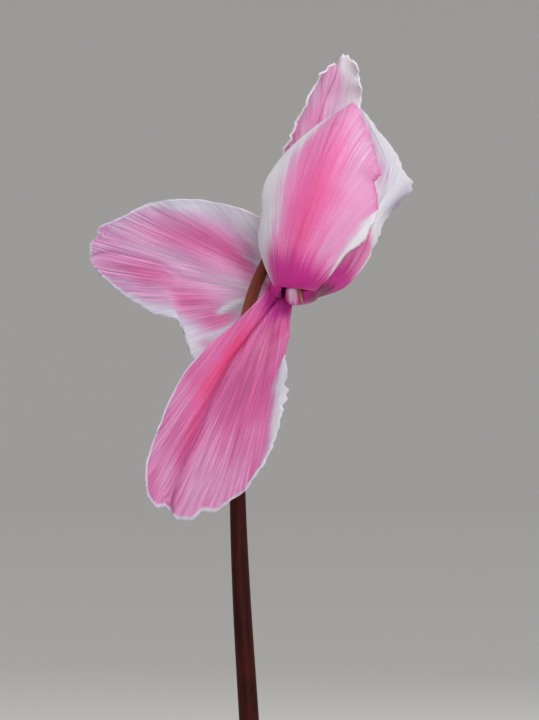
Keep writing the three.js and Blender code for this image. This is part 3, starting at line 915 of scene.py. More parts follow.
@dataclass(frozen=True)
class TerracottaPot:
    """A plain clay flowerpot with a deep rim and four drain holes."""

    height: float = 110.0
    foot_radius: float = 41.0
    neck_radius: float = 55.0
    rim_radius: float = 62.5
    rim_height: float = 27.0
    wall: float = 6.0
    floor: float = 8.0
    edge: float = 1.5
    sharp: float = math.radians(20)
    drain_radius: float = 4.5
    drain_circle: float = 22.0
    drains: int = 4
    sides: int = 144
    uneven: float = 0.25
    uneven_size: float = 28.0

    def wall_radius(self, height: float) -> float:
        """The outer wall's radius at a height, before the rim."""
        share = height / (self.height - self.rim_height)
        return lerp(self.foot_radius, self.neck_radius, share)

    def inner_radius(self, height: float) -> float:
        """The inner wall's radius at a height."""
        return self.wall_radius(height) - self.wall

    def is_corner(self, edge: bmesh.types.BMEdge) -> bool:
        """Tells the section's corners, which run round the pot, from its other edges.

        Args:
            edge: An edge of the turned section.

        Returns:
            Whether it runs round the pot where the section bends.
        """
        first, last = (vert.co for vert in edge.verts)
        level = abs(first.z - last.z) < 0.01
        round_pot = abs(first.xy.length - last.xy.length) < 0.01
        return level and round_pot and edge.calc_face_angle(0) > self.sharp

    def build(self) -> None:
        """Spins the pot's section, rounds its corners and opens its drain holes."""
        under = self.height - self.rim_height
        section = [
            (0, 0),
            (self.foot_radius, 0),
            (self.wall_radius(under), under),
            (self.rim_radius, under),
            (self.rim_radius, self.height),
            (self.inner_radius(self.height), self.height),
            (self.inner_radius(self.floor), self.floor),
            (0, self.floor),
        ]
        bm = new_mesh()
        turn_profile(bm, section, self.sides)
        bmesh.ops.recalc_face_normals(bm, faces=bm.faces)
        bmesh.ops.bevel(
            bm,
            geom=[edge for edge in bm.edges if self.is_corner(edge)],
            offset=self.edge,
            segments=4,
            profile=0.5,
            affect="EDGES",
            material=-1,
        )
        # The wall is a little uneven, as clay is after firing, and the foot stays flat.
        for vert in bm.verts:
            if vert.co.z > 1:
                push = self.uneven * noise.noise(vert.co / self.uneven_size)
                vert.co.xy *= 1 - abs(push) / max(30.0, vert.co.xy.length)
        clay = UnglazedTerracotta().build()
        self.open_drains(make_piece(bm, "clay_pot", [clay], ["pot"]))

    def open_drains(self, piece: bpy.types.Object) -> None:
        """Cuts the drain holes through the floor.

        Args:
            piece: The pot, whose mesh is in metres.
        """
        bm = bmesh.new()
        for i in range(self.drains):
            angle = 2 * math.pi * (i + 0.5) / self.drains
            bmesh.ops.create_cone(
                bm,
                cap_ends=True,
                segments=32,
                radius1=self.drain_radius * MM,
                radius2=self.drain_radius * MM,
                depth=3 * self.floor * MM,
                matrix=Matrix.Translation(round_axis(angle, self.drain_circle, 0) * MM),
            )
        mesh = bpy.data.meshes.new("drain_cutter")
        bm.to_mesh(mesh)
        bm.free()
        cutter = bpy.data.objects.new("drain_cutter", mesh)
        bpy.context.scene.collection.objects.link(cutter)
        cut = piece.modifiers.new("drains", "BOOLEAN")
        cut.operation = "DIFFERENCE"
        cut.solver = "EXACT"
        cut.object = cutter
        apply_modifiers(piece)
        bpy.data.objects.remove(cutter)
        bpy.data.meshes.remove(mesh)


def apply_modifiers(piece: bpy.types.Object) -> None:
    """Keeps what a piece's modifiers make of it as its own mesh.

    Args:
        piece: The piece, which has no modifiers afterwards.
    """
    bpy.context.view_layer.update()
    graph = bpy.context.evaluated_depsgraph_get()
    made = bpy.data.meshes.new_from_object(piece.evaluated_get(graph))
    piece.modifiers.clear()
    old = piece.data
    piece.data = made
    bpy.data.meshes.remove(old)
    made.name = piece.name


# ------------------------------------------------------------------ soil and tuber


@dataclass(frozen=True)
class Grains:
    """Rough grains strewn over the soil, from small to large by their radius."""

    piece: str
    count: int
    small: float
    large: float
    reach: float


@dataclass(frozen=True)
class PeatBed:
    """The soil in the pot: a crumbly surface with loose crumbs and grains of perlite."""

    radius: float
    top: float = SOIL_TOP
    depth: float = 14.0
    roughness: float = 0.9
    lump: float = 5.5
    crumbs: Grains = Grains("peat_crumbs", 650, 0.5, 1.7, reach=0.93)
    perlite: Grains = Grains("perlite_grains", 70, 0.7, 1.5, reach=0.9)
    seed: int = 5

    def surface(self, x: float, y: float) -> float:
        """The soil's shape.

        Args:
            x: A place's distance from the pot's axis along X.
            y: The same along Y.

        Returns:
            Its height there, lower at the pot's wall.
        """
        broad = math.sin(0.18 * x + 1.3) * math.cos(0.16 * y) * 0.5
        rough = noise.fractal(Vector((x, y, 3)) / self.lump, 0.8, 2.1, 4)
        edge = smoothstep(math.hypot(x, y), 0.9 * self.radius, self.radius)
        rise = (broad + self.roughness * rough) * (1 - 0.6 * edge)
        return self.top + 0.4 + rise - 1.2 * edge

    def build(self) -> None:
        """Makes the bed, its crumbs and its perlite."""
        bm = new_mesh()
        for vert, angle, share in rolled_sheet(bm, 150, 60):
            place = round_axis(angle, share * self.radius, 0)
            place.z = self.surface(place.x, place.y)
            vert.co = place
        weld(bm, bm.verts[:])
        skirt = bmesh.ops.extrude_edge_only(bm, edges=open_edges(bm))["geom"]
        for vert in [v for v in skirt if isinstance(v, bmesh.types.BMVert)]:
            vert.co.xy *= 0.98
            vert.co.z = self.top - self.depth
        bmesh.ops.holes_fill(bm, edges=open_edges(bm), sides=0)
        bmesh.ops.recalc_face_normals(bm, faces=bm.faces)
        peat = MoistPeat().build()
        make_piece(bm, "peat_bed", [peat], ["soil"])
        draw = random.Random(self.seed)
        self.strew(draw, self.crumbs, peat)
        white = Mottled("expanded_perlite", "#ded9cf", "#a8967e", cloud=3, grain=0.8)
        self.strew(draw, self.perlite, white.build())

    def strew(self, draw: random.Random, grains: Grains, material: bpy.types.Material) -> None:
        """Strews rough grains over the soil, as one piece.

        Args:
            draw: The random draws.
            grains: What the grains are.
            material: Theirs.
        """
        bm = new_mesh()
        for _ in range(grains.count):
            angle = draw.uniform(0, 2 * math.pi)
            place = round_axis(angle, self.radius * grains.reach * math.sqrt(draw.random()), 0)
            size = lerp(grains.small, grains.large, draw.random() ** 2)
            turn = Euler([draw.uniform(0, math.pi) for _ in range(3)]).to_matrix().to_4x4()
            shape = Matrix.Diagonal((size, size * draw.uniform(0.6, 1), size * 0.7, 1))
            place.z = self.surface(place.x, place.y) + 0.3 * size
            lie = Matrix.Translation(place) @ turn @ shape
            bmesh.ops.create_icosphere(bm, subdivisions=1, radius=1, matrix=lie)
        make_piece(bm, grains.piece, [material])


@dataclass(frozen=True)
class CorkyTuber:
    """The flattened tuber, half out of the soil, from whose crown everything grows.

    Its body is lumpy, and its crown is set with the stubs of old stalks.
    """

    scars: int = 46
    scar_ring: tuple[float, float] = (9.0, 24.0)
    scar_turn: float = math.radians(1.7 * SPIRAL_TURN)
    scar_stray: float = 0.3
    scar_height: float = 1.6
    scar_foot: float = 1.3
    scar_top: float = 0.8
    scar_sunk: float = 1.5
    seed: int = 3

    def build(self) -> None:
        """Makes the tuber's body with its scars."""
        bm = new_mesh()
        bmesh.ops.create_uvsphere(bm, u_segments=96, v_segments=48, radius=1, calc_uvs=True)
        size = Vector((TUBER_RADIUS, TUBER_RADIUS, TUBER_HALF_HEIGHT))
        for vert in bm.verts:
            broad, fine = abs(noise.noise(vert.co * 4.0)), abs(noise.noise(vert.co * 11))
            vert.co = vert.co * size * (1 - 0.035 * broad - 0.02 * fine)
            vert.co.z += TUBER_MIDDLE
        draw = random.Random(self.seed)
        for i in range(self.scars):
            out = lerp(*self.scar_ring, math.sqrt((i + 0.5) / self.scars))
            angle = self.scar_turn * i + draw.uniform(-self.scar_stray, self.scar_stray)
            foot = round_axis(angle, out, crown_height(out) - self.scar_sunk)
            bmesh.ops.create_cone(
                bm,
                cap_ends=True,
                segments=8,
                radius1=self.scar_foot,
                radius2=self.scar_top,
                depth=2 * self.scar_height * draw.uniform(0.6, 1.0),
                matrix=Matrix.Translation(foot),
            )
        make_piece(bm, "corky_tuber", [CorkyTuberSkin().build()], ["tuber"])


def crown_height(out: float) -> float:
    """The height of the tuber's crown at a distance from its axis."""
    return TUBER_MIDDLE + TUBER_HALF_HEIGHT * math.sqrt(1 - (out / TUBER_RADIUS) ** 2)


@dataclass(frozen=True)
class CrownPlace:
    """Where a stalk stands on the crown, counted along the spiral from the middle."""

    count: int

    @property
    def out(self) -> float:
        """Its distance from the tuber's axis."""
        return SPIRAL_SPREAD * math.sqrt(self.count + SPIRAL_FIRST)

    @property
    def turn(self) -> Matrix:
        """Its direction round the axis."""
        return Matrix.Rotation(math.radians(SPIRAL_TURN * (self.count + 1)), 4, "Z")

    @property
    def height(self) -> float:
        """The height of its foot."""
        return crown_height(self.out) - STALK_HOLE_DEPTH


# ------------------------------------------------------------------ leaves


@dataclass(frozen=True)
class LeafPlan:
    """One leaf's place, size and lie."""

    number: int
    place: CrownPlace
    reach: float
    height: float
    size: float
    tilt: float
    yaw: float
    phase: float

    @property
    def joint(self) -> Vector:
        """Where its blade meets its stalk, before its turn round the axis."""
        return Vector((self.reach, 0, self.height))

    @property
    def mood(self) -> float:
        """A number of its own from 0 to 1, which neighbours don't share."""
        return 0.618 * self.number % 1


@dataclass(frozen=True)
class LeafRosette:
    """Eighteen heart-shaped leaves on leaning stalks, high in the middle and low at the rim.

    A pair of sizes is the youngest leaf's and the oldest's. What shapes a blade, from its
    teeth down, is a share of the blade's size.
    """

    first: int
    count: int = 18
    seed: int = 11
    reach: tuple[float, float] = (28.0, 80.0)
    height: tuple[float, float] = (171.0, 128.0)
    size: tuple[float, float] = (29.0, 44.0)
    tilt: tuple[float, float] = (8.0, 25.0)
    thickness: float = 0.55
    stalk_radius: float = 1.5
    straight: float = 6.5
    neck: float = 9.0
    sinus: float = 12.0
    grid: tuple[int, int] = (108, 22)
    teeth: int = 18
    tooth: float = 0.022
    tooth_tip: float = 0.007
    tooth_from: float = 0.86
    droop: float = 0.13
    ripples: int = 5
    ripple: float = 0.035
    quilt: float = 0.012
    crinkle: float = 0.004

    def draws(self) -> Iterator[float]:
        """A seeded stream of numbers between 0 and 1, without end."""
        state = self.seed
        while True:
            state = state * 16807 % 2147483647
            yield state / 2147483647

    def plans(self) -> list[LeafPlan]:
        """The leaves' plans, the youngest and highest first."""
        draws = self.draws()
        plans = []
        for i in range(self.count):
            share = i / (self.count - 1)
            plans.append(
                LeafPlan(
                    number=i + 1,
                    place=CrownPlace(self.first + i),
                    reach=lerp(*self.reach, share) * (0.97 + 0.06 * next(draws)),
                    height=lerp(*self.height, share),
                    size=lerp(*self.size, share) * (0.93 + 0.14 * next(draws)),
                    tilt=math.radians(lerp(*self.tilt, share) + 6 * (next(draws) - 0.5)),
                    yaw=math.radians(24 * (next(draws) - 0.5)),
                    phase=2 * math.pi * next(draws),
                )
            )
        return plans

    def outline(self, angle: float) -> float:
        """The heart shape of a blade of size 1, with its tip and the notch at its joint.

        Args:
            angle: A direction from the joint, 0 towards the tip.

        Returns:
            How far the blade reaches there.
        """
        heart = 0.8 + 0.12 * math.cos(angle) + 0.04 * math.cos(2 * angle)
        tip = 0.05 * bell(angle, 0, 0.22)
        notch = 1 - 0.35 * bell(abs(angle), math.pi, 0.3)
        return (heart + tip) * notch

    def blade_point(self, plan: LeafPlan, angle: float, share: float, tooth: float) -> Vector:
        """A point on a blade of size 1, lying level.

        Args:
            plan: The leaf's plan.
            angle: Its direction from the joint.
            share: How far out it is, from 0 at the joint to 1 at the margin.
            tooth: The phase of the margin's teeth there.

        Returns:
            The point, from the joint.
        """
        margin = smoothstep(share, self.tooth_from, 1)
        jag = self.tooth * math.cos(tooth) - self.tooth_tip * math.cos(3 * tooth)
        radius = 0.985 * share * (1 + margin * jag) * self.outline(angle)
        wave = math.cos(self.ripples * angle + plan.phase)
        sag = self.droop * share**2 - self.ripple * share**3 * wave
        between = math.sin(math.pi * share) * (1 - math.cos(MAIN_VEINS * angle)) / 2
        crinkle = noise.noise(round_axis(angle, radius, plan.phase) * 9)
        lift = self.quilt * between + self.crinkle * crinkle
        return round_axis(angle, radius, lift - sag)

    def blade(self, plan: LeafPlan, materials: Sequence[bpy.types.Material]) -> None:
        """Makes a leaf's blade, from a sheet that fans out from its stalk's joint.

        Args:
            plan: The leaf's plan.
            materials: Its upper and lower face's.
        """
        open_angle = math.pi - math.radians(self.sinus)
        bm = new_mesh()
        layers = number_layers(bm, ("share", "angle", "mood"))
        scaled = plan.size * MM
        flat = {}
        for vert in new_sheet(bm, *self.grid):
            angle, share = -open_angle * vert.co.x, ((vert.co.y + 1) / 2) ** 0.85
            tooth = math.pi * self.teeth * (1 - vert.co.x)
            point = self.blade_point(plan, angle, share, tooth)
            carry(vert, layers, (share, angle, plan.mood))
            flat[vert] = (point.x * scaled + plan.number, point.y * scaled)
            vert.co = plan.size * point
        lay_map(bm, flat)
        weld(bm, bm.verts[:])
        lie = (
            plan.place.turn
            @ Matrix.Translation(plan.joint)
            @ Matrix.Rotation(plan.tilt, 4, "Y")
            @ Matrix.Rotation(plan.yaw, 4, "Z")
        )
        bmesh.ops.transform(bm, matrix=lie, verts=bm.verts)
        name, node = f"leaf_{plan.number:02d}_blade", f"leaf_blade_{plan.number:02d}"
        piece = make_piece(bm, name, materials, [node])
        give_thickness(piece, self.thickness, underside=1)

    def stalk(self, plan: LeafPlan, skin: bpy.types.Material) -> None:
        """Makes a leaf's stalk, from its hole in the crown to the blade's joint.

        Args:
            plan: The leaf's plan.
            skin: The stalk's material.
        """
        foot = Vector((plan.place.out, 0, plan.place.height))
        up = Vector((math.sin(plan.tilt), 0, math.cos(plan.tilt)))

        def leaning(across: float, rise: float) -> Vector:
            """A point part of the way out and part of the way up."""
            return Vector((lerp(foot.x, plan.reach, across), 0, lerp(foot.z, plan.height, rise)))

        points = (
            foot,
            foot + Vector((0, 0, self.straight)),
            leaning(0.34, 0.42),
            leaning(0.72, 0.76),
            plan.joint - self.neck * up,
            plan.joint - 0.1 * up,
        )
        course = [plan.place.turn @ point for point in Rail(points, Spacing.CENTRIPETAL).evenly(48)]

        def radius(share: float) -> float:
            """A stalk thickens a little at its foot and just under the blade."""
            flare = 0.12 * bell(share, 0.06, 0.06) + 0.1 * bell(share, 1, 0.03)
            return self.stalk_radius * (0.9 + flare)

        name, node = f"leaf_{plan.number:02d}_stalk", f"leaf_stalk_{plan.number:02d}"
        make_stalk(name, node, course, radius, 16, skin)

    def build(self) -> None:
        """Makes all the leaves."""
        faces = [MarbledLeaf().build(), LeafUnderside().build()]
        skin = JuicyStalk("leaf_stalk_skin", "#7d4030", "#4c2218", "#86905c", 0.72).build()
        for plan in self.plans():
            self.blade(plan, faces)
            self.stalk(plan, skin)


# ------------------------------------------------------------------ the bloom

Point = tuple[float, float, float]
Station = tuple[Point, Point, Point]
Steps = tuple[tuple[float, float], ...]


@dataclass(frozen=True)
class Crease:
    """A fold along a petal: a groove, with the petal proud of it on its right side.

    The path gives the fold's place across the petal at places along it. It grows from its start
    and dies away at its end, and its crest may be painted paler: partly the fold's own colour and
    partly a painted highlight where it takes the light.
    """

    path: Steps
    groove: float
    width: float = 0.1
    proud: float = 0.0
    fade: float = 0.5
    start: float = 0.1
    end: float = 2.0
    # Paint on the crest: partly its own paler colour, partly painted highlight.
    white: float = 0.0

    def pale_and_lit_crest(self, along: float, across: float) -> float:
        """How pale the fold's crest is: its own colour and, partly, a painted highlight.

        Args:
            along: A place along the petal.
            across: The same across it.

        Returns:
            How much white it adds there.
        """
        grown = smoothstep(along, self.start, self.start + 0.1)
        grown *= 1 - smoothstep(along, self.end - 0.1, self.end)
        return self.white * grown * bell(across, stepped(self.path, along), 0.8 * self.width)

    def push(self, along: float, across: float) -> float:
        """How the fold bends the petal.

        Args:
            along: A place along the petal.
            across: The same across it.

        Returns:
            How far back it sets the petal there.
        """
        off = across - stepped(self.path, along)
        grown = smoothstep(along, self.start, self.start + 0.2)
        grown *= 1 - smoothstep(along, self.end - 0.15, self.end + 0.05)
        side = smoothstep(off, -0.03, 0.05) * math.exp(-max(off, 0.0) / self.fade)
        return grown * (self.groove * bell(off, -0.02, self.width) - self.proud * side)


@dataclass(frozen=True)
class Wash:
    """A soft patch on a petal that adds to its paints: rose, white, magenta and painted shade."""

    along: float
    across: float
    length: float
    width: float
    rose: float = 0.0
    white: float = 0.0
    eye: float = 0.0
    dusk: float = 0.0

    def at(self, along: float, across: float) -> float:
        """Its strength at a place on the petal, 1 in its middle."""
        return bell(along, self.along, self.length) * bell(across, self.across, self.width)


@dataclass(frozen=True)
class Petal:
    """A petal: a skin over three rails from inside the tube's rim to its tip.

    A station is the left rail, the middle and the right rail as seen from the front, from the
    middle of the flower's mouth. Across runs from -1 at the left margin to 1 at the right. The
    rim is where the petal leaves the tube, as angles round it. Margins, notches and frill are
    shares of the petal's width and length, and depths and ruffles are in millimetres.
    """

    name: str
    rim: tuple[float, float]
    rim_depth: float
    rim_outward: float
    stations: tuple[Station, ...]
    left_margin: Steps = ((0, 0.0), (1, 0.0))
    right_margin: Steps = ((0, 0.0), (1, 0.0))
    tip_margin: float = 0.0
    depth: float = 0.5
    eye: float = 0.15
    # Painted shade over the whole petal.
    dusk: float = 0.0
    washes: tuple[Wash, ...] = ()
    creases: tuple[Crease, ...] = ()
    notches: Steps = ()
    notch_width: float = 0.22
    ruffle: float = 0.4
    waves: float = 4.5
    ribs: float = 0.5
    frill: tuple[float, float] = (0.3, 0.3)
    tip_frill: float = 0.4
    grid: tuple[int, int] = (76, 104)
    vein_root: float = 10.0

    @property
    def seed(self) -> float:
        """A number of its own for its noises."""
        return 7.3 * len(self.name) + self.rim[0]

    @property
    def base(self) -> float:
        """How far along its rails the petal leaves the tube."""
        return 1 / (len(self.stations) + 1)

    def margin(self, along: float, across: float) -> float:
        """The white of the petal's margins, as wide as they are stated.

        Args:
            along: A place along the petal.
            across: The same across it.

        Returns:
            1 on a margin, less further in, and never below -0.6.
        """
        white = -0.6
        for width, inward in (
            (stepped(self.left_margin, along), across + 1),
            (stepped(self.right_margin, along), 1 - across),
            (self.tip_margin, 1 - along),
        ):
            if width > 0:
                white = max(white, 1.6 * (1 - inward / width) * min(1, width / 0.04) - 0.6)
        return white

    def paint(self, along: float, across: float) -> tuple[float, float, float, float]:
        """The petal's paints, before its streaks.

        Args:
            along: A place along the petal.
            across: The same across it.

        Returns:
            Its white, depth, eye and painted shade there.
        """
        white, depth, dusk = self.margin(along, across), self.depth, self.dusk
        eye = 1 - smoothstep(along + 0.05 * across * across, 0.35 * self.eye, 1.7 * self.eye)
        for wash in self.washes:
            strength = wash.at(along, across)
            white += wash.white * strength
            depth += wash.rose * strength
            eye += wash.eye * strength
            dusk += wash.dusk * strength
        # The folds' pale crests, partly painted highlight.
        white += sum(crease.pale_and_lit_crest(along, across) for crease in self.creases)
        return white, depth, eye, dusk

    def cut(self, across: float) -> float:
        """How deep the notches in the petal's tip are at a place across it."""
        depths = (
            depth * max(0.0, 1 - abs(across - at) / self.notch_width) for at, depth in self.notches
        )
        return sum(depths)


@dataclass(frozen=True)
class VeinMap:
    """A petal's own map: its veins spread from a point behind its base."""

    root: Vector
    ahead: Vector
    aside: Vector
    scale: float = 15.0

    @classmethod
    def over(cls, rails: Sequence[Rail], base: float, behind: float) -> "VeinMap":
        """Lays the map over a petal.

        Args:
            rails: The petal's left rail, middle and right rail.
            base: How far along them the petal's base is.
            behind: How far behind its base the veins spread from.

        Returns:
            The map.
        """
        foot, tip = rails[1].at(base), rails[1].at(1.0)
        ahead = (tip - foot).normalized()
        aside = rails[2].at(0.6) - rails[0].at(0.6)
        return cls(foot - behind * ahead, ahead, (aside - aside.project(ahead)).normalized())

    def place(self, point: Vector) -> tuple[float, float]:
        """How far round the root a point is, at the map's scale, and how far from it."""
        off = point - self.root
        return self.scale * math.atan2(off.dot(self.aside), off.dot(self.ahead)), off.length


@dataclass(frozen=True)
class Bloom:
    """The open flower: petals on a short tube, its calyx, its stamens and its stalk."""

    petals: tuple[Petal, ...]
    mouth_radius: float = 5.0
    tube_length: float = 7.5
    tube_wall: float = 0.9
    lean: float = 20.0
    roll: float = 10.6
    petal_thickness: float = 0.4
    root_depth: float = 2.6
    branch_from: float = 14.0
    branch_full: float = 42.0
    frill_from: float = 0.3
    frill_full: float = 0.5
    sepals: int = 5
    sepal_thickness: float = 0.45
    disc_radius: float = 2.1
    anthers: int = 5
    anther_length: float = 4.2
    anther_radii: Steps = ((0, 0.0), (0.1, 0.9), (0.35, 1.5), (0.8, 2.3), (1, 2.0))
    style_radius: float = 0.32
    stalk_foot: tuple[float, float] = (2.5, 0.0)
    stalk_radius: float = 2.1
    stalk_tip_radius: float = 1.2
    straight: float = 8.0
    stalk_points: tuple[Point, ...] = (
        (-5.4, 7, -150),
        (-7.0, 7, -115),
        (-8.9, 7, -85),
        (-10.3, 7, -62),
        (-11.1, 7, -42),
        (-11.2, 6.6, -26),
        (-10.4, 6.0, -11),
        (-8.5, 6.0, -1.6),
        (-7.3, 6.2, 2.0),
        (-5.5, 6.6, 6.0),
        (-3.7, 6.6, 9.8),
        (-1.9, 6.2, 12.6),
        (0.2, 5.2, 13.4),
    )
    style_points: tuple[Point, ...] = (
        (0.4, 0.0, 2.5),
        (0.9, -2.6, 1.2),
        (1.3, -3.8, 0.2),
        (1.6, -4.2, -1.0),
        (1.9, -4.2, -2.1),
    )

    def tube_point(self, angle: float, radius: float, depth: float) -> Vector:
        """A point on or round the leaning tube, from the middle of the mouth.

        Args:
            angle: About the tube's line, in radians.
            radius: From that line.
            depth: Behind the mouth.

        Returns:
            The point.
        """
        roll = Matrix.Rotation(math.radians(self.roll), 3, "Y")
        lean = Matrix.Rotation(-math.radians(self.lean), 3, "X")
        return roll @ lean @ round_axis(angle, radius, depth)

    def tube_radius(self, depth: float) -> float:
        """The tube's outer radius at a depth behind the mouth."""
        share = depth / self.tube_length
        return self.mouth_radius + self.tube_wall / 2 - 0.4 * share - 2.3 * share**6

    def rails(self, petal: Petal) -> list[Rail]:
        """Lays a petal's rails, each from inside the tube, over its rim and out to the tip.

        Args:
            petal: The petal.

        Returns:
            Its left rail, middle and right rail.
        """
        rails = []
        for side, share in enumerate((0.0, 0.5, 1.0)):
            angle = math.radians(lerp(*petal.rim, share))
            radius = self.mouth_radius + petal.rim_outward
            inner = self.tube_point(angle, radius - 0.7, petal.rim_depth + self.root_depth)
            root = self.tube_point(angle, radius, petal.rim_depth)
            stations = (Vector(station[side]) for station in petal.stations)
            rails.append(Rail((inner, root, *stations)))
        return rails

    def petal_point(
        self, petal: Petal, rails: list[Rail], veins: VeinMap, along: float, across: float
    ) -> tuple[Vector, float, float]:
        """A point on a petal, with its folds, its ruffled margin and its frilled edge.

        Args:
            petal: The petal.
            rails: Its three rails.
            veins: Its map.
            along: From 0 on the tube's rim to 1 at its tip, and below 0 inside the tube.
            across: From -1 at its left margin to 1 at its right.

        Returns:
            The point, from the middle of the mouth, and its place on the petal's map.
        """
        left, middle, right = (rail.at(lerp(petal.base, 1, along)) for rail in rails)
        spread = (right - left).normalized()
        point = (
            left * (across * (across - 1) / 2)
            + middle * (1 - across * across)
            + right * (across * (across + 1) / 2)
        )
        wave = math.sin(2 * math.pi * petal.waves * along + 2 * across)
        back = smoothstep(along, 0.1, 0.45) * petal.ruffle * across**4 * wave
        round_root, reach = veins.place(point)
        rib = noise.noise(Vector((round_root / 2.2, reach / 16, petal.seed)))
        back += smoothstep(along, 0.02, 0.3) * petal.ribs * rib
        back += sum(crease.push(along, across) for crease in petal.creases)
        point.y += back
        fringe = noise.noise(Vector((21 * along, petal.seed, across)))
        fringe += 0.7 * noise.noise(Vector((55 * along, petal.seed, across)))
        frill = petal.frill[across > 0] * abs(across) ** 12
        frill *= smoothstep(along, self.frill_from, self.frill_full)
        point += spread * (frill * fringe * math.copysign(1, across))
        tipward = (rails[1].at(1.0) - rails[1].at(0.96)).normalized()
        scallop = noise.noise(Vector((5.8 * across, 5.0, petal.seed)))
        tip = petal.tip_frill * (scallop - 0.4) - petal.cut(across)
        point += tipward * (smoothstep(along, 0.88, 1.0) * tip)
        return point, round_root, reach

    def corolla(self, skin: bpy.types.Material) -> None:
        """Makes the corolla: five petals that grow together into a short tube.

        Args:
            skin: The petals' material.
        """
        bm = new_mesh()
        layers = number_layers(bm, PAINTS)
        for petal in self.petals:
            rails = self.rails(petal)
            veins = VeinMap.over(rails, petal.base, petal.vein_root)
            flat = {}
            for vert in new_sheet(bm, *petal.grid):
                across = vert.co.x
                along = lerp(-1 / len(petal.stations), 1, (vert.co.y + 1) / 2)
                point, round_root, reach = self.petal_point(petal, rails, veins, along, across)
                branched = smoothstep(reach, self.branch_from, self.branch_full)
                carry(vert, layers, (*petal.paint(along, across), branched))
                flat[vert] = (round_root * MM, reach * MM + petal.seed)
                vert.co = MOUTH + point
            lay_map(bm, flat)
        self.tube(bm, layers)
        piece = make_piece(bm, "bloom_corolla", [skin], ["corolla"])
        give_thickness(piece, self.petal_thickness)

    def tube(self, bm: bmesh.types.BMesh, layers: Layers) -> None:
        """Adds the tube that the petals grow together into, closed behind.

        Args:
            bm: The corolla's mesh.
            layers: The paints that it carries.
        """
        flat = {}
        for vert, angle, share in rolled_sheet(bm, 64, 24):
            depth = lerp(0.6, self.tube_length, share)
            closing = math.sqrt(max(0.0, 1 - smoothstep(share, 0.75, 1.0) ** 2))
            radius = (self.tube_radius(depth) - self.tube_wall / 2) * closing
            carry(vert, layers, (-1.0, 0.6, 1 - 0.6 * smoothstep(share, 0.1, 0.8), 0.0, 0.0))
            flat[vert] = (self.mouth_radius * MM * angle, depth * MM)
            vert.co = MOUTH + self.tube_point(angle, radius, depth)
        lay_map(bm, flat)
        weld(bm, list(flat))

    def calyx(self, tissue: bpy.types.Material) -> None:
        """Makes the five pointed sepals and the small disc that they stand on.

        Args:
            tissue: Their material.
        """
        bm = new_mesh()
        for i in range(self.sepals):
            turn = 2 * math.pi * i / self.sepals
            for vert in new_sheet(bm, 8, 16):
                share = (vert.co.y + 1) / 2
                half = 0.62 * (1 - share**1.7) ** 0.9 * smoothstep(share, -0.35, 0.3)
                depth = lerp(self.tube_length + 0.7, 0.45 * self.tube_length, share)
                lifted = self.tube_radius(min(depth, self.tube_length)) + 0.75
                radius = lerp(1.6, lifted, smoothstep(share, 0, 0.22)) - 0.18 * vert.co.x**2
                vert.co = MOUTH + self.tube_point(turn + half * vert.co.x, radius, depth)
        for vert, angle, share in rolled_sheet(bm, 24, 4):
            depth = self.tube_length + 0.5 + 0.9 * (1 - share**3)
            vert.co = MOUTH + self.tube_point(angle, self.disc_radius * share, depth)
        weld(bm, bm.verts[:])
        piece = make_piece(bm, "bloom_calyx", [tissue], ["calyx"])
        give_thickness(piece, self.sepal_thickness)

    def stamens(self) -> None:
        """Makes the cone of five anthers and the style whose tip shows at the mouth."""
        bm = new_mesh()
        root = self.tube_length - self.tube_wall - 0.6
        for vert, angle, share in rolled_sheet(bm, 40, 30):
            furrow = (1 + math.cos(self.anthers * angle)) / 2
            radius = stepped(self.anther_radii, share) * (1 - 0.12 * furrow)
            depth = lerp(root - self.anther_length, root, share)
            vert.co = MOUTH + self.tube_point(angle, radius, depth)
        weld(bm, bm.verts[:])
        course = Rail(tuple(MOUTH + Vector(point) for point in self.style_points))

        def radius_of_style(share: float) -> float:
            """Thinner towards its tip."""
            return self.style_radius - 0.14 * smoothstep(share, 0.6, 1.0)

        sleeve(bm, course.evenly(24), radius_of_style, 12)
        pollen = Mottled("anther_tissue", "#bfae4a", "#8f8136", cloud=2, grain=0.4).build()
        make_piece(bm, "bloom_stamens", [pollen], ["stamens"])

    def stalk(self) -> None:
        """Makes the flower's stalk, up from the crown and over in a tight hook."""
        x, y = self.stalk_foot
        foot = Vector((x, y, crown_height(math.hypot(x, y)) - STALK_HOLE_DEPTH))
        end = self.tube_length + 0.9
        points = (
            foot,
            foot + Vector((0, 0, self.straight)),
            *(MOUTH + Vector(point) for point in self.stalk_points),
            MOUTH + self.tube_point(0, 0, end + 3),
            MOUTH + self.tube_point(0, 0, end),
        )

        def radius(share: float) -> float:
            """Thick at the foot, thin at the hook."""
            tapering = smoothstep(share, 0.45, 0.97)
            swell = 0.12 * bell(share, 0.03, 0.04) + 0.25 * bell(share, 1, 0.012)
            return lerp(self.stalk_radius, self.stalk_tip_radius, tapering) * (0.97 + swell)

        course = Rail(points, Spacing.CENTRIPETAL).evenly(220)
        # Painted light and shade: a paler top by the hook, and a darker stalk below, partly its own
        # colour.
        skin = JuicyStalk("flower_stalk_skin", "#42110a", "#220705", "#a05844", 0.73, 0.86).build()
        make_stalk("bloom_stalk", "flower_stalk", course, radius, 24, skin)

    def build(self, skin: bpy.types.Material, tissue: bpy.types.Material) -> None:
        """Makes the whole flower.

        Args:
            skin: The petals' material.
            tissue: The sepals'.
        """
        self.corolla(skin)
        self.calyx(tissue)
        self.stamens()
        self.stalk()


def mouth_fold(
    name: str,
    rim: tuple[float, float],
    rim_outward: float,
    stations: tuple[Station, ...],
    **looks: object,
) -> Petal:
    """A small rolled fold between the petals' feet, at the mouth.

    Args:
        name: The fold's name.
        rim: Where it leaves the tube, as angles round it.
        rim_outward: How far outside the mouth's radius that is.
        stations: Its course.
        looks: The petal's other fields that it needs.

    Returns:
        The fold, which has a smooth edge.
    """
    smooth = {"ruffle": 0, "frill": (0, 0), "tip_frill": 0.1}
    return Petal(name, rim, 0.4, rim_outward, stations, **smooth, **looks)


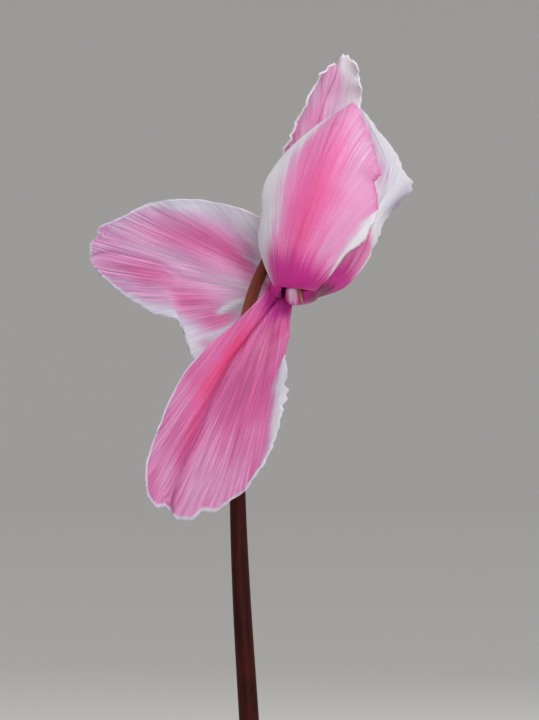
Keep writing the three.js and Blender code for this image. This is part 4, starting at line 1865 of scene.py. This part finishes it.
PETALS = (
    Petal(
        name="front",
        rim=(-143, -40),
        rim_depth=0.8,
        rim_outward=0,
        stations=(
            ((-3.9, -3.8, 1.7), (-0.3, -6.4, 1.2), (4.5, -5.0, 0.7)),
            ((-6.0, -4.0, 6.7), (-0.1, -9.6, 5.9), (7.3, -7.2, 3.4)),
            ((-6.8, -3.8, 10.9), (0.5, -10.8, 10.6), (10.6, -7.8, 7.8)),
            ((-6.2, -3.0, 16.1), (1.9, -11.0, 15.7), (14.0, -7.4, 10.2)),
            ((-6.2, -2.2, 19.5), (3.5, -10.6, 20.1), (16.7, -6.2, 16.4)),
            ((-5.0, -1.2, 23.1), (5.3, -9.4, 24.5), (16.1, -5.0, 21.7)),
            ((-1.4, 0.0, 28.0), (7.3, -7.4, 28.9), (17.3, -4.6, 24.7)),
            ((4.4, 0.6, 33.2), (9.5, -4.6, 33.3), (15.2, -3.0, 30.2)),
            ((11.4, -0.6, 37.5), (12.4, -1.4, 37.7), (13.3, -1.6, 35.3)),
        ),
        left_margin=(
            *((0, 0), (0.1, 0), (0.2, 0.4), (0.3, 0.95), (0.36, 1.2)),
            *((0.55, 1.15), (0.72, 0.9), (0.9, 0.8), (1, 0.6)),
        ),
        right_margin=(
            *((0, 0), (0.16, 0), (0.24, 0.14), (0.32, 0.2)),
            *((0.42, 0.34), (0.5, 0.26), (0.56, 0), (1, 0)),
        ),
        depth=0.62,
        eye=0.235,
        washes=(
            Wash(0.46, 0.1, 0.36, 0.3, rose=0.75),
            Wash(0.6, 0.8, 0.32, 0.4, rose=-0.4, white=0.15),
            Wash(0.88, 0.4, 0.16, 0.6, rose=-0.45, white=0.1),
            Wash(0.1, 0.0, 0.12, 1.2, eye=0.15),
            Wash(0.7, 1.0, 0.2, 0.05, rose=0.5),
            Wash(0.12, -0.95, 0.1, 0.25, eye=-0.4, white=0.3),
        ),
        creases=(Crease(((0, -0.3), (1, -0.3)), 0.25, width=0.2),),
        ruffle=0.25,
        frill=(0.1, 0.6),
    ),
    Petal(
        name="right",
        rim=(-45, 35),
        rim_depth=1,
        rim_outward=0,
        stations=(
            ((4.1, -3.2, 1.2), (5.0, -1.0, 0.2), (3.8, 2.2, -1.0)),
            ((6.6, -2.8, 3.8), (8.4, -1.0, 2.4), (10.0, 1.8, 1.1)),
            ((9.6, -2.8, 7.9), (12.2, -0.8, 6.5), (14.3, 2.0, 5.6)),
            ((11.0, -2.6, 12.3), (14.0, -0.6, 11.0), (16.7, 2.4, 10.4)),
            ((11.7, -2.2, 17.5), (15.4, -0.2, 16.4), (18.9, 3.4, 15.8)),
            ((11.8, -1.6, 22.9), (17.6, 0.6, 22.0), (23.7, 4.6, 21.0)),
            ((11.8, -0.6, 28.6), (17.0, 1.4, 27.5), (21.6, 4.6, 25.9)),
            ((11.8, 0.6, 33.6), (15.1, 2.2, 32.5), (18.3, 4.0, 31.3)),
            ((12.2, 1.4, 37.3), (13.3, 2.4, 37.2), (14.3, 3.2, 36.3)),
        ),
        left_margin=((0, 0), (0.4, 0), (0.5, 0.8), (0.6, 2.8), (1, 3.2)),
        right_margin=(
            *((0, 0), (0.16, 0.1), (0.3, 0.45), (0.42, 0.7)),
            *((0.52, 1.3), (0.6, 2.8), (1, 3.2)),
        ),
        depth=0.55,
        eye=0.26,
        washes=(
            # Painted shade over the petal's upper part.
            Wash(0.75, 0.2, 0.3, 1.0, dusk=0.4),
            # Deep magenta at the base, past the eye into painted shade.
            Wash(0.06, 0.2, 0.16, 2.0, eye=1.6, white=-0.6),
            # Painted shade on the underside of the flap at the right edge's notch: less white, more
            # tint.
            Wash(0.6, 1.0, 0.07, 0.3, rose=0.1, white=-0.7, dusk=0.7),
            Wash(0.56, -0.3, 0.14, 0.5, rose=-0.3, white=0.5),
            Wash(0.8, -0.2, 0.2, 0.4, white=-0.3),
            Wash(0.57, 0.5, 0.1, 0.3, white=0.3, dusk=-0.2),
        ),
        creases=(Crease(((0, 0.3), (1, 0.3)), 0.5),),
        ruffle=0.3,
        frill=(0.2, 0.9),
    ),
    Petal(
        name="back",
        rim=(110, 30),
        rim_depth=2,
        rim_outward=0.4,
        stations=(
            ((-2.4, 6.5, -0.5), (0.1, 8.5, -0.8), (3.3, 7.0, -0.7)),
            ((-4.2, 10.0, 6.5), (0.5, 13.0, 6.6), (5.9, 9.5, 6.5)),
            ((-5.2, 12.5, 14.7), (0.7, 15.5, 14.8), (8.8, 12.0, 14.7)),
            ((-4.4, 13.0, 21.6), (1.5, 16.5, 22.2), (10.9, 13.0, 22.5)),
            ((-2.4, 13.0, 27.8), (3.0, 17.0, 29.0), (12.1, 13.0, 29.4)),
            ((0.3, 12.8, 33.4), (4.8, 17.0, 34.7), (13.1, 12.6, 35.5)),
            ((2.7, 12.4, 38.9), (6.7, 16.6, 39.8), (14.0, 12.2, 40.5)),
            ((5.2, 12.0, 43.8), (8.7, 15.2, 44.4), (13.7, 12.0, 43.6)),
            ((7.2, 12.0, 46.6), (9.9, 14.0, 49.2), (13.1, 12.0, 46.6)),
        ),
        left_margin=((0, 0.3), (0.5, 0.15), (1, 0.12)),
        right_margin=((0, 0.3), (0.5, 0.9), (1, 1.0)),
        tip_margin=0.03,
        depth=0.3,
        eye=0.1,
        washes=(
            # Painted light: the left half made paler, with less painted shade, where it turns from
            # the light.
            Wash(0.85, -0.6, 0.4, 0.4, rose=-0.3, dusk=-0.3),
            Wash(0.97, 0.2, 0.08, 0.3, rose=-0.5, white=0.7),
            Wash(0.8, 0.6, 0.5, 0.45, rose=-0.5, white=0.25),
        ),
        creases=(Crease(((0, 0.1), (1, 0.02)), 0.15, width=0.09, proud=0.9),),
        notches=((-0.95, 0.6), (-0.75, 1.1), (-0.52, 1.5), (-0.3, 1.9), (-0.08, 2.6)),
        ruffle=0.5,
        waves=6.5,
        frill=(0.9, 0.5),
    ),
    Petal(
        name="left",
        rim=(165, 110),
        rim_depth=2.4,
        rim_outward=0.4,
        stations=(
            ((-5.0, 7.5, 3.4), (-5.4, 8.6, 1.4), (-5.8, 7.5, -1.3)),
            ((-4.2, 10.0, 8.9), (-8.2, 10.6, 2.4), (-7.8, 9.2, -4.9)),
            ((-5.0, 11.4, 14.2), (-12.3, 11.6, 4.3), (-11.1, 8.4, -9.4)),
            ((-9.7, 12.4, 17.1), (-17.2, 12.4, 6.2), (-15.7, 7.0, -12.8)),
            ((-16.4, 13.0, 18.9), (-22.5, 13.0, 8.1), (-19.9, 7.0, -13.3)),
            ((-23.4, 13.4, 19.3), (-27.8, 13.2, 9.4), (-23.0, 8.4, -5.7)),
            ((-29.5, 13.4, 18.4), (-33.1, 12.6, 10.0), (-28.3, 10.4, -4.0)),
            ((-35.4, 13.0, 15.4), (-37.7, 11.8, 9.8), (-35.5, 11.0, 0.8)),
            ((-39.4, 12.4, 13.6), (-41.5, 10.8, 8.3), (-39.2, 10.8, 4.1)),
        ),
        left_margin=(
            *((0, 0.9), (0.2, 1.0), (0.4, 0.8), (0.55, 0.65)),
            *((0.7, 0.45), (0.85, 0.3), (1, 0.15)),
        ),
        right_margin=(
            *((0, 0.8), (0.17, 1.1), (0.3, 1.1), (0.45, 0.9)),
            *((0.55, 0.7), (0.65, 0.4), (1, 0.15)),
        ),
        tip_margin=0.03,
        depth=0.25,
        eye=0.05,
        # Painted shade over the whole petal, which lies behind the others.
        dusk=0.42,
        vein_root=7.0,
        washes=(
            Wash(0.6, 0.0, 0.4, 1.0, white=0.4),
            Wash(0.35, -0.45, 0.14, 0.38, rose=0.6),
            Wash(0.9, 0.0, 0.4, 1.2, dusk=0.25),
            Wash(0.39, 0.68, 0.08, 0.1, rose=0.65, white=-1.1),
            Wash(0.47, 0.88, 0.05, 0.08, rose=0.3, white=-0.5),
            Wash(0.4, 0.13, 0.25, 0.16, rose=-0.2, white=0.4),
            # Painted light: these two make the skin paler and take off painted shade where the
            # front petal's shadow falls.
            Wash(0.28, 0.0, 0.12, 0.3, rose=-0.2, dusk=-0.4),
            Wash(0.18, 0.4, 0.1, 0.5, rose=-0.4, white=0.5, dusk=-0.4),
            Wash(0.68, 0.04, 0.14, 0.14, rose=-0.2, white=0.25),
            Wash(0.5, -0.25, 0.2, 0.2, rose=0.4),
            Wash(0.53, 0.48, 0.14, 0.15, rose=0.75, white=-0.6),
            Wash(0.78, 0.38, 0.13, 0.2, rose=0.7, white=-0.3),
            Wash(0.92, -0.1, 0.08, 0.3, rose=-0.2, white=0.2),
            Wash(0.84, -0.6, 0.1, 0.25, rose=-0.3, dusk=0.2, white=0.2),
        ),
        creases=(
            Crease(
                (
                    *((0, 0.5), (0.28, 0.53), (0.36, 0.57), (0.45, 0.69)),
                    *((0.5, 0.8), (0.56, 0.93), (1, 1)),
                ),
                -0.9,
                width=0.07,
                start=0.15,
                end=0.46,
                # A pale crest along the fold, partly its own colour and partly painted highlight.
                white=0.7,
            ),
            Crease(((0, 0.8), (0.35, 0.82), (0.5, 0.93), (1, 1)), 0.4, width=0.06, end=0.4),
            Crease(((0, 0.25), (0.6, 0.3), (1, 0.2)), 0.5, width=0.07),
        ),
        notches=((-0.6, 1.2),),
        ruffle=0.45,
        ribs=0.6,
        frill=(0.25, 0.5),
    ),
    Petal(
        name="lower",
        rim=(190, 75),
        rim_depth=0.3,
        rim_outward=0,
        stations=(
            ((-5.0, -1.6, 0.8), (-2.4, 1.2, -0.2), (0.0, 2.0, -1.6)),
            ((-7.6, -2.6, -2.2), (-4.6, -0.6, -3.8), (-0.4, 0.0, -4.2)),
            ((-12.2, -4.6, -6.6), (-8.2, -3.2, -9.4), (-0.7, -2.6, -7.4)),
            ((-17.5, -6.8, -11.2), (-12.1, -5.4, -14.8), (-1.0, -4.4, -10.8)),
            ((-22.4, -8.2, -17.2), (-15.9, -6.2, -20.9), (-1.4, -5.6, -15.8)),
            ((-25.3, -8.8, -23.3), (-18.5, -6.0, -27.7), (-0.8, -5.6, -20.5)),
            ((-27.7, -8.8, -29.6), (-20.5, -5.6, -33.2), (-2.8, -6.0, -26.1)),
            ((-29.1, -8.4, -34.7), (-21.3, -5.2, -38.8), (-4.4, -6.0, -32.2)),
            ((-29.1, -7.6, -40.3), (-20.7, -4.8, -45.4), (-10.0, -5.4, -39.4)),
        ),
        left_margin=((0, 0), (0.4, 0), (0.5, 0.045), (0.8, 0.07), (1, 0.12)),
        right_margin=(
            *((0, 0), (0.47, 0), (0.53, 0.2), (0.6, 0.3)),
            *((0.72, 0.26), (0.85, 0.12), (1, 0.08)),
        ),
        tip_margin=0.035,
        depth=0.75,
        eye=0.2,
        # Painted shade over the whole petal.
        dusk=0.4,
        washes=(
            Wash(0.0, 0.0, 0.2, 1.6, eye=0.5),
            Wash(0.36, -0.45, 0.14, 0.3, rose=0.5, eye=-0.3, dusk=-0.2),
            Wash(0.5, -0.25, 0.16, 0.2, rose=0.6, eye=-0.2, dusk=-0.2),
            Wash(0.7, -0.15, 0.2, 0.1, rose=0.4),
            Wash(0.92, 0.0, 0.17, 1.2, rose=-0.45, white=0.15),
            Wash(0.75, -0.9, 0.2, 0.2, rose=-0.15, white=0.1),
            Wash(0.75, 0.25, 0.1, 0.12, rose=-0.35),
            # The right half beside the crease, turned from the light: partly its own deeper rose,
            # partly painted shade.
            Wash(0.35, 0.5, 0.3, 0.6, rose=0.7, eye=0.15, dusk=0.3),
            Wash(0.12, 0.5, 0.14, 0.6, eye=0.4),
        ),
        creases=(
            Crease(
                (
                    *((0, 0.25), (0.22, -0.05), (0.3, -0.14), (0.42, -0.11)),
                    *((0.52, 0), (0.66, 0), (0.83, -0.1), (1, -0.36)),
                ),
                0.7,
                width=0.1,
                proud=1.8,
                start=0.0,
                # A pale crest along the fold: a painted highlight where the proud side's edge takes
                # the light.
                white=0.35,
            ),
            Crease(
                ((0, 1), (0.5, 0.93), (0.6, 0.8), (0.72, 0.82), (1, 0.95)),
                0.6,
                width=0.06,
                proud=-0.7,
                start=0.4,
            ),
        ),
        notches=((-0.5, 1.8), (0.25, 1.3)),
        ruffle=0.35,
        frill=(0.25, 0.9),
    ),
    mouth_fold(
        "pale_fold",
        (112, 60),
        -0.3,
        (
            ((-1.3, 2.2, -1.9), (0.2, 2.4, -2.3), (1.9, 2.2, -2.0)),
            ((-1.5, -1.0, -1.0), (0.3, -1.6, -1.9), (1.9, -1.2, -1.7)),
            ((-1.3, -3.0, 0.9), (0.0, -3.9, 0.9), (1.2, -3.4, 0.7)),
        ),
        depth=0.1,
        eye=0.01,
        washes=(
            Wash(0.95, -0.25, 0.3, 0.45, white=0.1),
            Wash(0.3, 0.0, 0.34, 2.0, eye=1.2),
            # A magenta rim that runs a little into the deep magenta of painted shade.
            Wash(0.7, 0.9, 0.9, 0.5, eye=1.3),
            Wash(0.7, -1.0, 0.8, 0.3, eye=0.8),
        ),
        ribs=0.1,
        grid=(16, 24),
    ),
    mouth_fold(
        "left_fold",
        (200, 150),
        -0.2,
        (
            ((-4.7, 0.6, -0.1), (-3.6, 1.4, -0.9), (-2.5, 2.0, -1.4)),
            ((-4.5, -1.4, 0.6), (-3.5, -1.4, 0.0), (-2.4, -1.0, -0.5)),
            ((-4.2, -3.0, 1.7), (-3.3, -3.6, 1.5), (-2.3, -3.6, 1.2)),
        ),
        depth=0.6,
        eye=1.4,
        # Deep magenta on its right side: painted shade.
        washes=(Wash(0.5, 1.0, 1.0, 0.5, eye=1.0),),
        ribs=0.2,
        grid=(16, 24),
    ),
    mouth_fold(
        "magenta_fold",
        (75, 10),
        -0.2,
        (
            ((0.8, 2.8, -2.0), (2.9, 2.2, -2.0), (4.9, 0.8, -0.9)),
            ((1.0, 0.0, -1.6), (2.9, -0.6, -1.4), (4.9, -1.2, -0.1)),
            ((1.3, -2.2, 0.4), (2.9, -2.8, 0.6), (4.4, -2.6, 0.9)),
        ),
        depth=0.6,
        eye=1.4,
        # Deep magenta on its right side: painted shade.
        washes=(Wash(0.5, 0.7, 1.0, 0.8, eye=0.9),),
        ribs=0.3,
        grid=(20, 24),
    ),
)


# ------------------------------------------------------------------ buds


@dataclass(frozen=True)
class BudPlan:
    """One bud's place and size."""

    number: int
    reach: float
    height: float
    length: float
    radius: float

    @property
    def place(self) -> CrownPlace:
        """Where its stalk stands."""
        return CrownPlace(self.number - 1)


@dataclass(frozen=True)
class BudCluster:
    """Young furled buds that nod on their stalks round the middle of the crown."""

    plans: tuple[BudPlan, ...] = (
        BudPlan(1, 9.5, 204, 19, 3.5),
        BudPlan(2, 10, 199, 16, 3.1),
        BudPlan(3, 11, 194, 13, 2.7),
    )
    hook: float = 4.5
    stalk_radius: float = 1.3
    straight: float = 8.0
    twist: float = math.radians(150)
    petals: int = 5
    fold: float = 0.16
    sepals: int = 5
    sepal_length: float = 5.2
    sepal_thickness: float = 0.4

    def base(self, plan: BudPlan) -> Vector:
        """Where a bud hangs from its stalk, before its turn round the axis."""
        return Vector((plan.reach + 2 * self.hook, 0, plan.height - self.hook))

    def head(self, plan: BudPlan, skin: bpy.types.Material) -> None:
        """Makes a bud's five petals, wound to a point.

        Args:
            plan: The bud's plan.
            skin: The petals' material.
        """
        top = self.base(plan) - Vector((0, 0, 0.3))
        bm = new_mesh()
        layers = number_layers(bm, PAINTS)
        flat = {}
        for vert, angle, share in rolled_sheet(bm, 90, 70):
            radius = plan.radius * (1.02 - share**1.6) * min(1.0, 0.62 + 5 * share)
            wound = angle - self.twist * share
            crease = abs(math.sin(self.petals / 2 * wound))
            radius *= 1 + self.fold * math.sin(math.pi * share) * (1.7 * crease**0.6 - 0.9)
            radius *= smoothstep(share, -0.04, 0.03)
            seam = 1 - smoothstep(crease, 0.0, 0.35)
            white, rose = 0.5 * seam - 0.4 * share, 0.2 + 0.9 * share
            # The fourth number is a little painted shade over the whole bud.
            carry(vert, layers, (white, rose, smoothstep(share, 0.7, 1.1), 0.2, 0.0))
            flat[vert] = (plan.radius * wound * MM, plan.length * share * MM + plan.number)
            vert.co = top + round_axis(angle, radius, -plan.length * share)
        lay_map(bm, flat)
        weld(bm, bm.verts[:], 0.02)
        bmesh.ops.recalc_face_normals(bm, faces=bm.faces)
        bmesh.ops.transform(bm, matrix=plan.place.turn, verts=bm.verts)
        make_piece(bm, f"young_bud_{plan.number}", [skin], [f"bud_{plan.number}"])

    def cap(self, plan: BudPlan, tissue: bpy.types.Material) -> None:
        """Makes the five small sepals that clasp a bud's base.

        Args:
            plan: The bud's plan.
            tissue: The sepals' material.
        """
        # A thinner bud's sepals are shorter than the first one's in the same measure.
        length = self.sepal_length * plan.radius / self.plans[0].radius
        bm = new_mesh()
        for i in range(self.sepals):
            for vert in new_sheet(bm, 6, 12):
                share = (vert.co.y + 1) / 2
                half = 0.6 * (1 - share**1.8) * smoothstep(share, -0.4, 0.3)
                angle = 2 * math.pi * i / self.sepals + half * vert.co.x
                radius = plan.radius * lerp(0.35, 1.13, smoothstep(share, 0, 0.35)) + 0.1
                vert.co = self.base(plan) + round_axis(angle, radius, 0.9 - length * share)
        bmesh.ops.transform(bm, matrix=plan.place.turn, verts=bm.verts)
        piece = make_piece(bm, f"young_bud_{plan.number}_sepals", [tissue])
        give_thickness(piece, self.sepal_thickness)

    def stalk(self, plan: BudPlan, skin: bpy.types.Material) -> None:
        """Makes a bud's stalk, which hooks over and widens into the bud's base.

        Args:
            plan: The bud's plan.
            skin: The stalk's material.
        """
        out, foot, hook = plan.place.out, plan.place.height, self.hook
        reach, top = plan.reach, plan.height - hook
        points = (
            (out, foot),
            (out, foot + self.straight),
            ((out + reach) / 2, (foot + top) / 2),
            (reach, top),
            (reach + 0.3 * hook, plan.height - 0.3 * hook),
            (reach + hook, plan.height),
            (reach + 1.7 * hook, plan.height - 0.3 * hook),
            (reach + 2 * hook, top + 1),
            (reach + 2 * hook, top),
        )
        rail = Rail(tuple(Vector((x, 0, z)) for x, z in points), Spacing.CENTRIPETAL)

        def radius(share: float) -> float:
            """Even, then wide where it meets the bud."""
            widening = smoothstep(share, 0.965, 1)
            return lerp(self.stalk_radius * 0.95, 0.7 * plan.radius, widening)

        course = [plan.place.turn @ point for point in rail.evenly(130)]
        name, node = f"young_bud_{plan.number}_stalk", f"bud_stalk_{plan.number}"
        make_stalk(name, node, course, radius, 18, skin)

    def build(self, petal: bpy.types.Material, tissue: bpy.types.Material) -> None:
        """Makes every bud.

        Args:
            petal: The petals' material.
            tissue: The sepals'.
        """
        skin = JuicyStalk("bud_stalk_skin", "#7f4531", "#55281b", "#7c5a38", 0.85).build()
        for plan in self.plans:
            self.head(plan, petal)
            self.cap(plan, tissue)
            self.stalk(plan, skin)


# ------------------------------------------------------------------ studio


@dataclass(frozen=True)
class SoftBox:
    """A large soft lamp, in metres and watts."""

    name: str
    place: tuple[float, float, float]
    size: float
    watts: float
    colour: str = "#ffffff"

    def build(self, target: Vector) -> None:
        """Makes the lamp.

        Args:
            target: The place that it is turned to.
        """
        lamp = bpy.data.lights.new(self.name, "AREA")
        lamp.shape = "DISK"
        lamp.size = self.size
        lamp.energy = self.watts
        lamp.color = linear(self.colour)[:3]
        holder = bpy.data.objects.new(self.name, lamp)
        holder.location = self.place
        holder.rotation_euler = (target - Vector(self.place)).to_track_quat("-Z", "Y").to_euler()
        holder.visible_camera = False
        bpy.context.scene.collection.objects.link(holder)


@dataclass(frozen=True)
class Studio:
    """A plain pale bowl of floor and wall, soft lamps, and the photograph's camera.

    The photograph looks level at the bloom from 700 mm, at 5 pixels to the millimetre there, on a
    frame of 539 by 720 pixels whose middle lies a little left of and below the flower's mouth.
    The floor and the wall are in metres.
    """

    distance: float = 700.0
    aside: float = -4.7
    below: float = -13.4
    pixels_per_mm: float = 5.0
    frame_height: float = 720.0
    sensor: float = 36.0
    nearest: float = 0.05
    furthest: float = 60.0
    floor_radius: float = 6.0
    wall_radius: float = 9.0
    wall_height: float = 3.2
    bends: int = 12
    sides: int = 96
    paper: str = "#dcdad6"
    paper_shade: str = "#d8d6d2"
    grain: float = 1.5
    cloud: float = 2500.0
    room: str = "#f4f5f7"
    room_light: float = 0.55
    lamps: tuple[SoftBox, ...] = (
        SoftBox("key_lamp", (0.6, -1.45, 1.7), 0.8, 26, "#fffaf5"),
        SoftBox("fill_lamp", (0.5, -2.0, 0.3), 1.4, 9, "#f4f7ff"),
        SoftBox("back_lamp", (0.5, 1.5, 1.3), 1.0, 12),
    )

    def camera(self) -> None:
        """Sets the photograph's camera."""
        lens = bpy.data.cameras.new("photo_camera")
        lens.sensor_width = self.sensor
        lens.lens = self.sensor * self.distance * self.pixels_per_mm / self.frame_height
        lens.clip_start = self.nearest
        lens.clip_end = self.furthest
        camera = bpy.data.objects.new("photo_camera", lens)
        camera.location = (MOUTH + Vector((self.aside, -self.distance, self.below))) * MM
        camera.rotation_euler = (math.pi / 2, 0, 0)
        bpy.context.scene.collection.objects.link(camera)
        bpy.context.scene.camera = camera

    def stage(self) -> None:
        """Makes the bowl: a flat floor that curves up into the wall."""
        curve = self.wall_radius - self.floor_radius
        profile = [(0, 0), (self.floor_radius, 0)]
        for i in range(1, self.bends + 1):
            angle = math.pi / 2 * i / self.bends
            out, up = curve * math.sin(angle), curve * (1 - math.cos(angle))
            profile.append((self.floor_radius + out, up))
        profile.append((self.wall_radius, self.wall_height))
        bm = bmesh.new()
        turn_profile(bm, profile, self.sides)
        mix = Recipe("studio_paper")
        grain = mix.noise(mix.place(), self.grain, detail=2)
        tone = mix.noise(mix.place(), self.cloud, detail=1)
        colour = mix.blend(tone, self.paper, self.paper_shade)
        paper = mix.close(colour, mix.bump(grain, 0.1, 0.3), Roughness=0.95)
        make_object(bm, "studio_floor", [paper])

    def light(self) -> None:
        """Sets the lamps and the even light of the room."""
        for lamp in self.lamps:
            lamp.build(MOUTH * MM)
        world = bpy.data.worlds.new("room_light")
        world.use_nodes = True
        background = world.node_tree.nodes["Background"].inputs
        background["Color"].default_value = linear(self.room)
        background["Strength"].default_value = self.room_light
        bpy.context.scene.world = world
        bpy.context.scene.view_settings.view_transform = "Standard"
        bpy.context.scene.view_settings.look = "None"

    def build(self) -> None:
        """Sets up the whole studio."""
        self.camera()
        self.stage()
        self.light()


def main() -> None:
    """Builds the studio and the plant, from the pot up."""
    logging.basicConfig(level=logging.INFO, format="%(name)s: %(message)s")
    Studio().build()
    pot = TerracottaPot()
    pot.build()
    PeatBed(radius=pot.inner_radius(SOIL_TOP) - 0.2).build()
    CorkyTuber().build()
    buds = BudCluster()
    LeafRosette(first=len(buds.plans)).build()
    petal = BicolourPetal().build()
    sepal = Mottled("sepal_tissue", "#7b6a3c", "#5c3a2a", cloud=3, grain=0.5).build()
    Bloom(PETALS).build(petal, sepal)
    buds.build(petal, sepal)


if __name__ == "__main__":
    main()
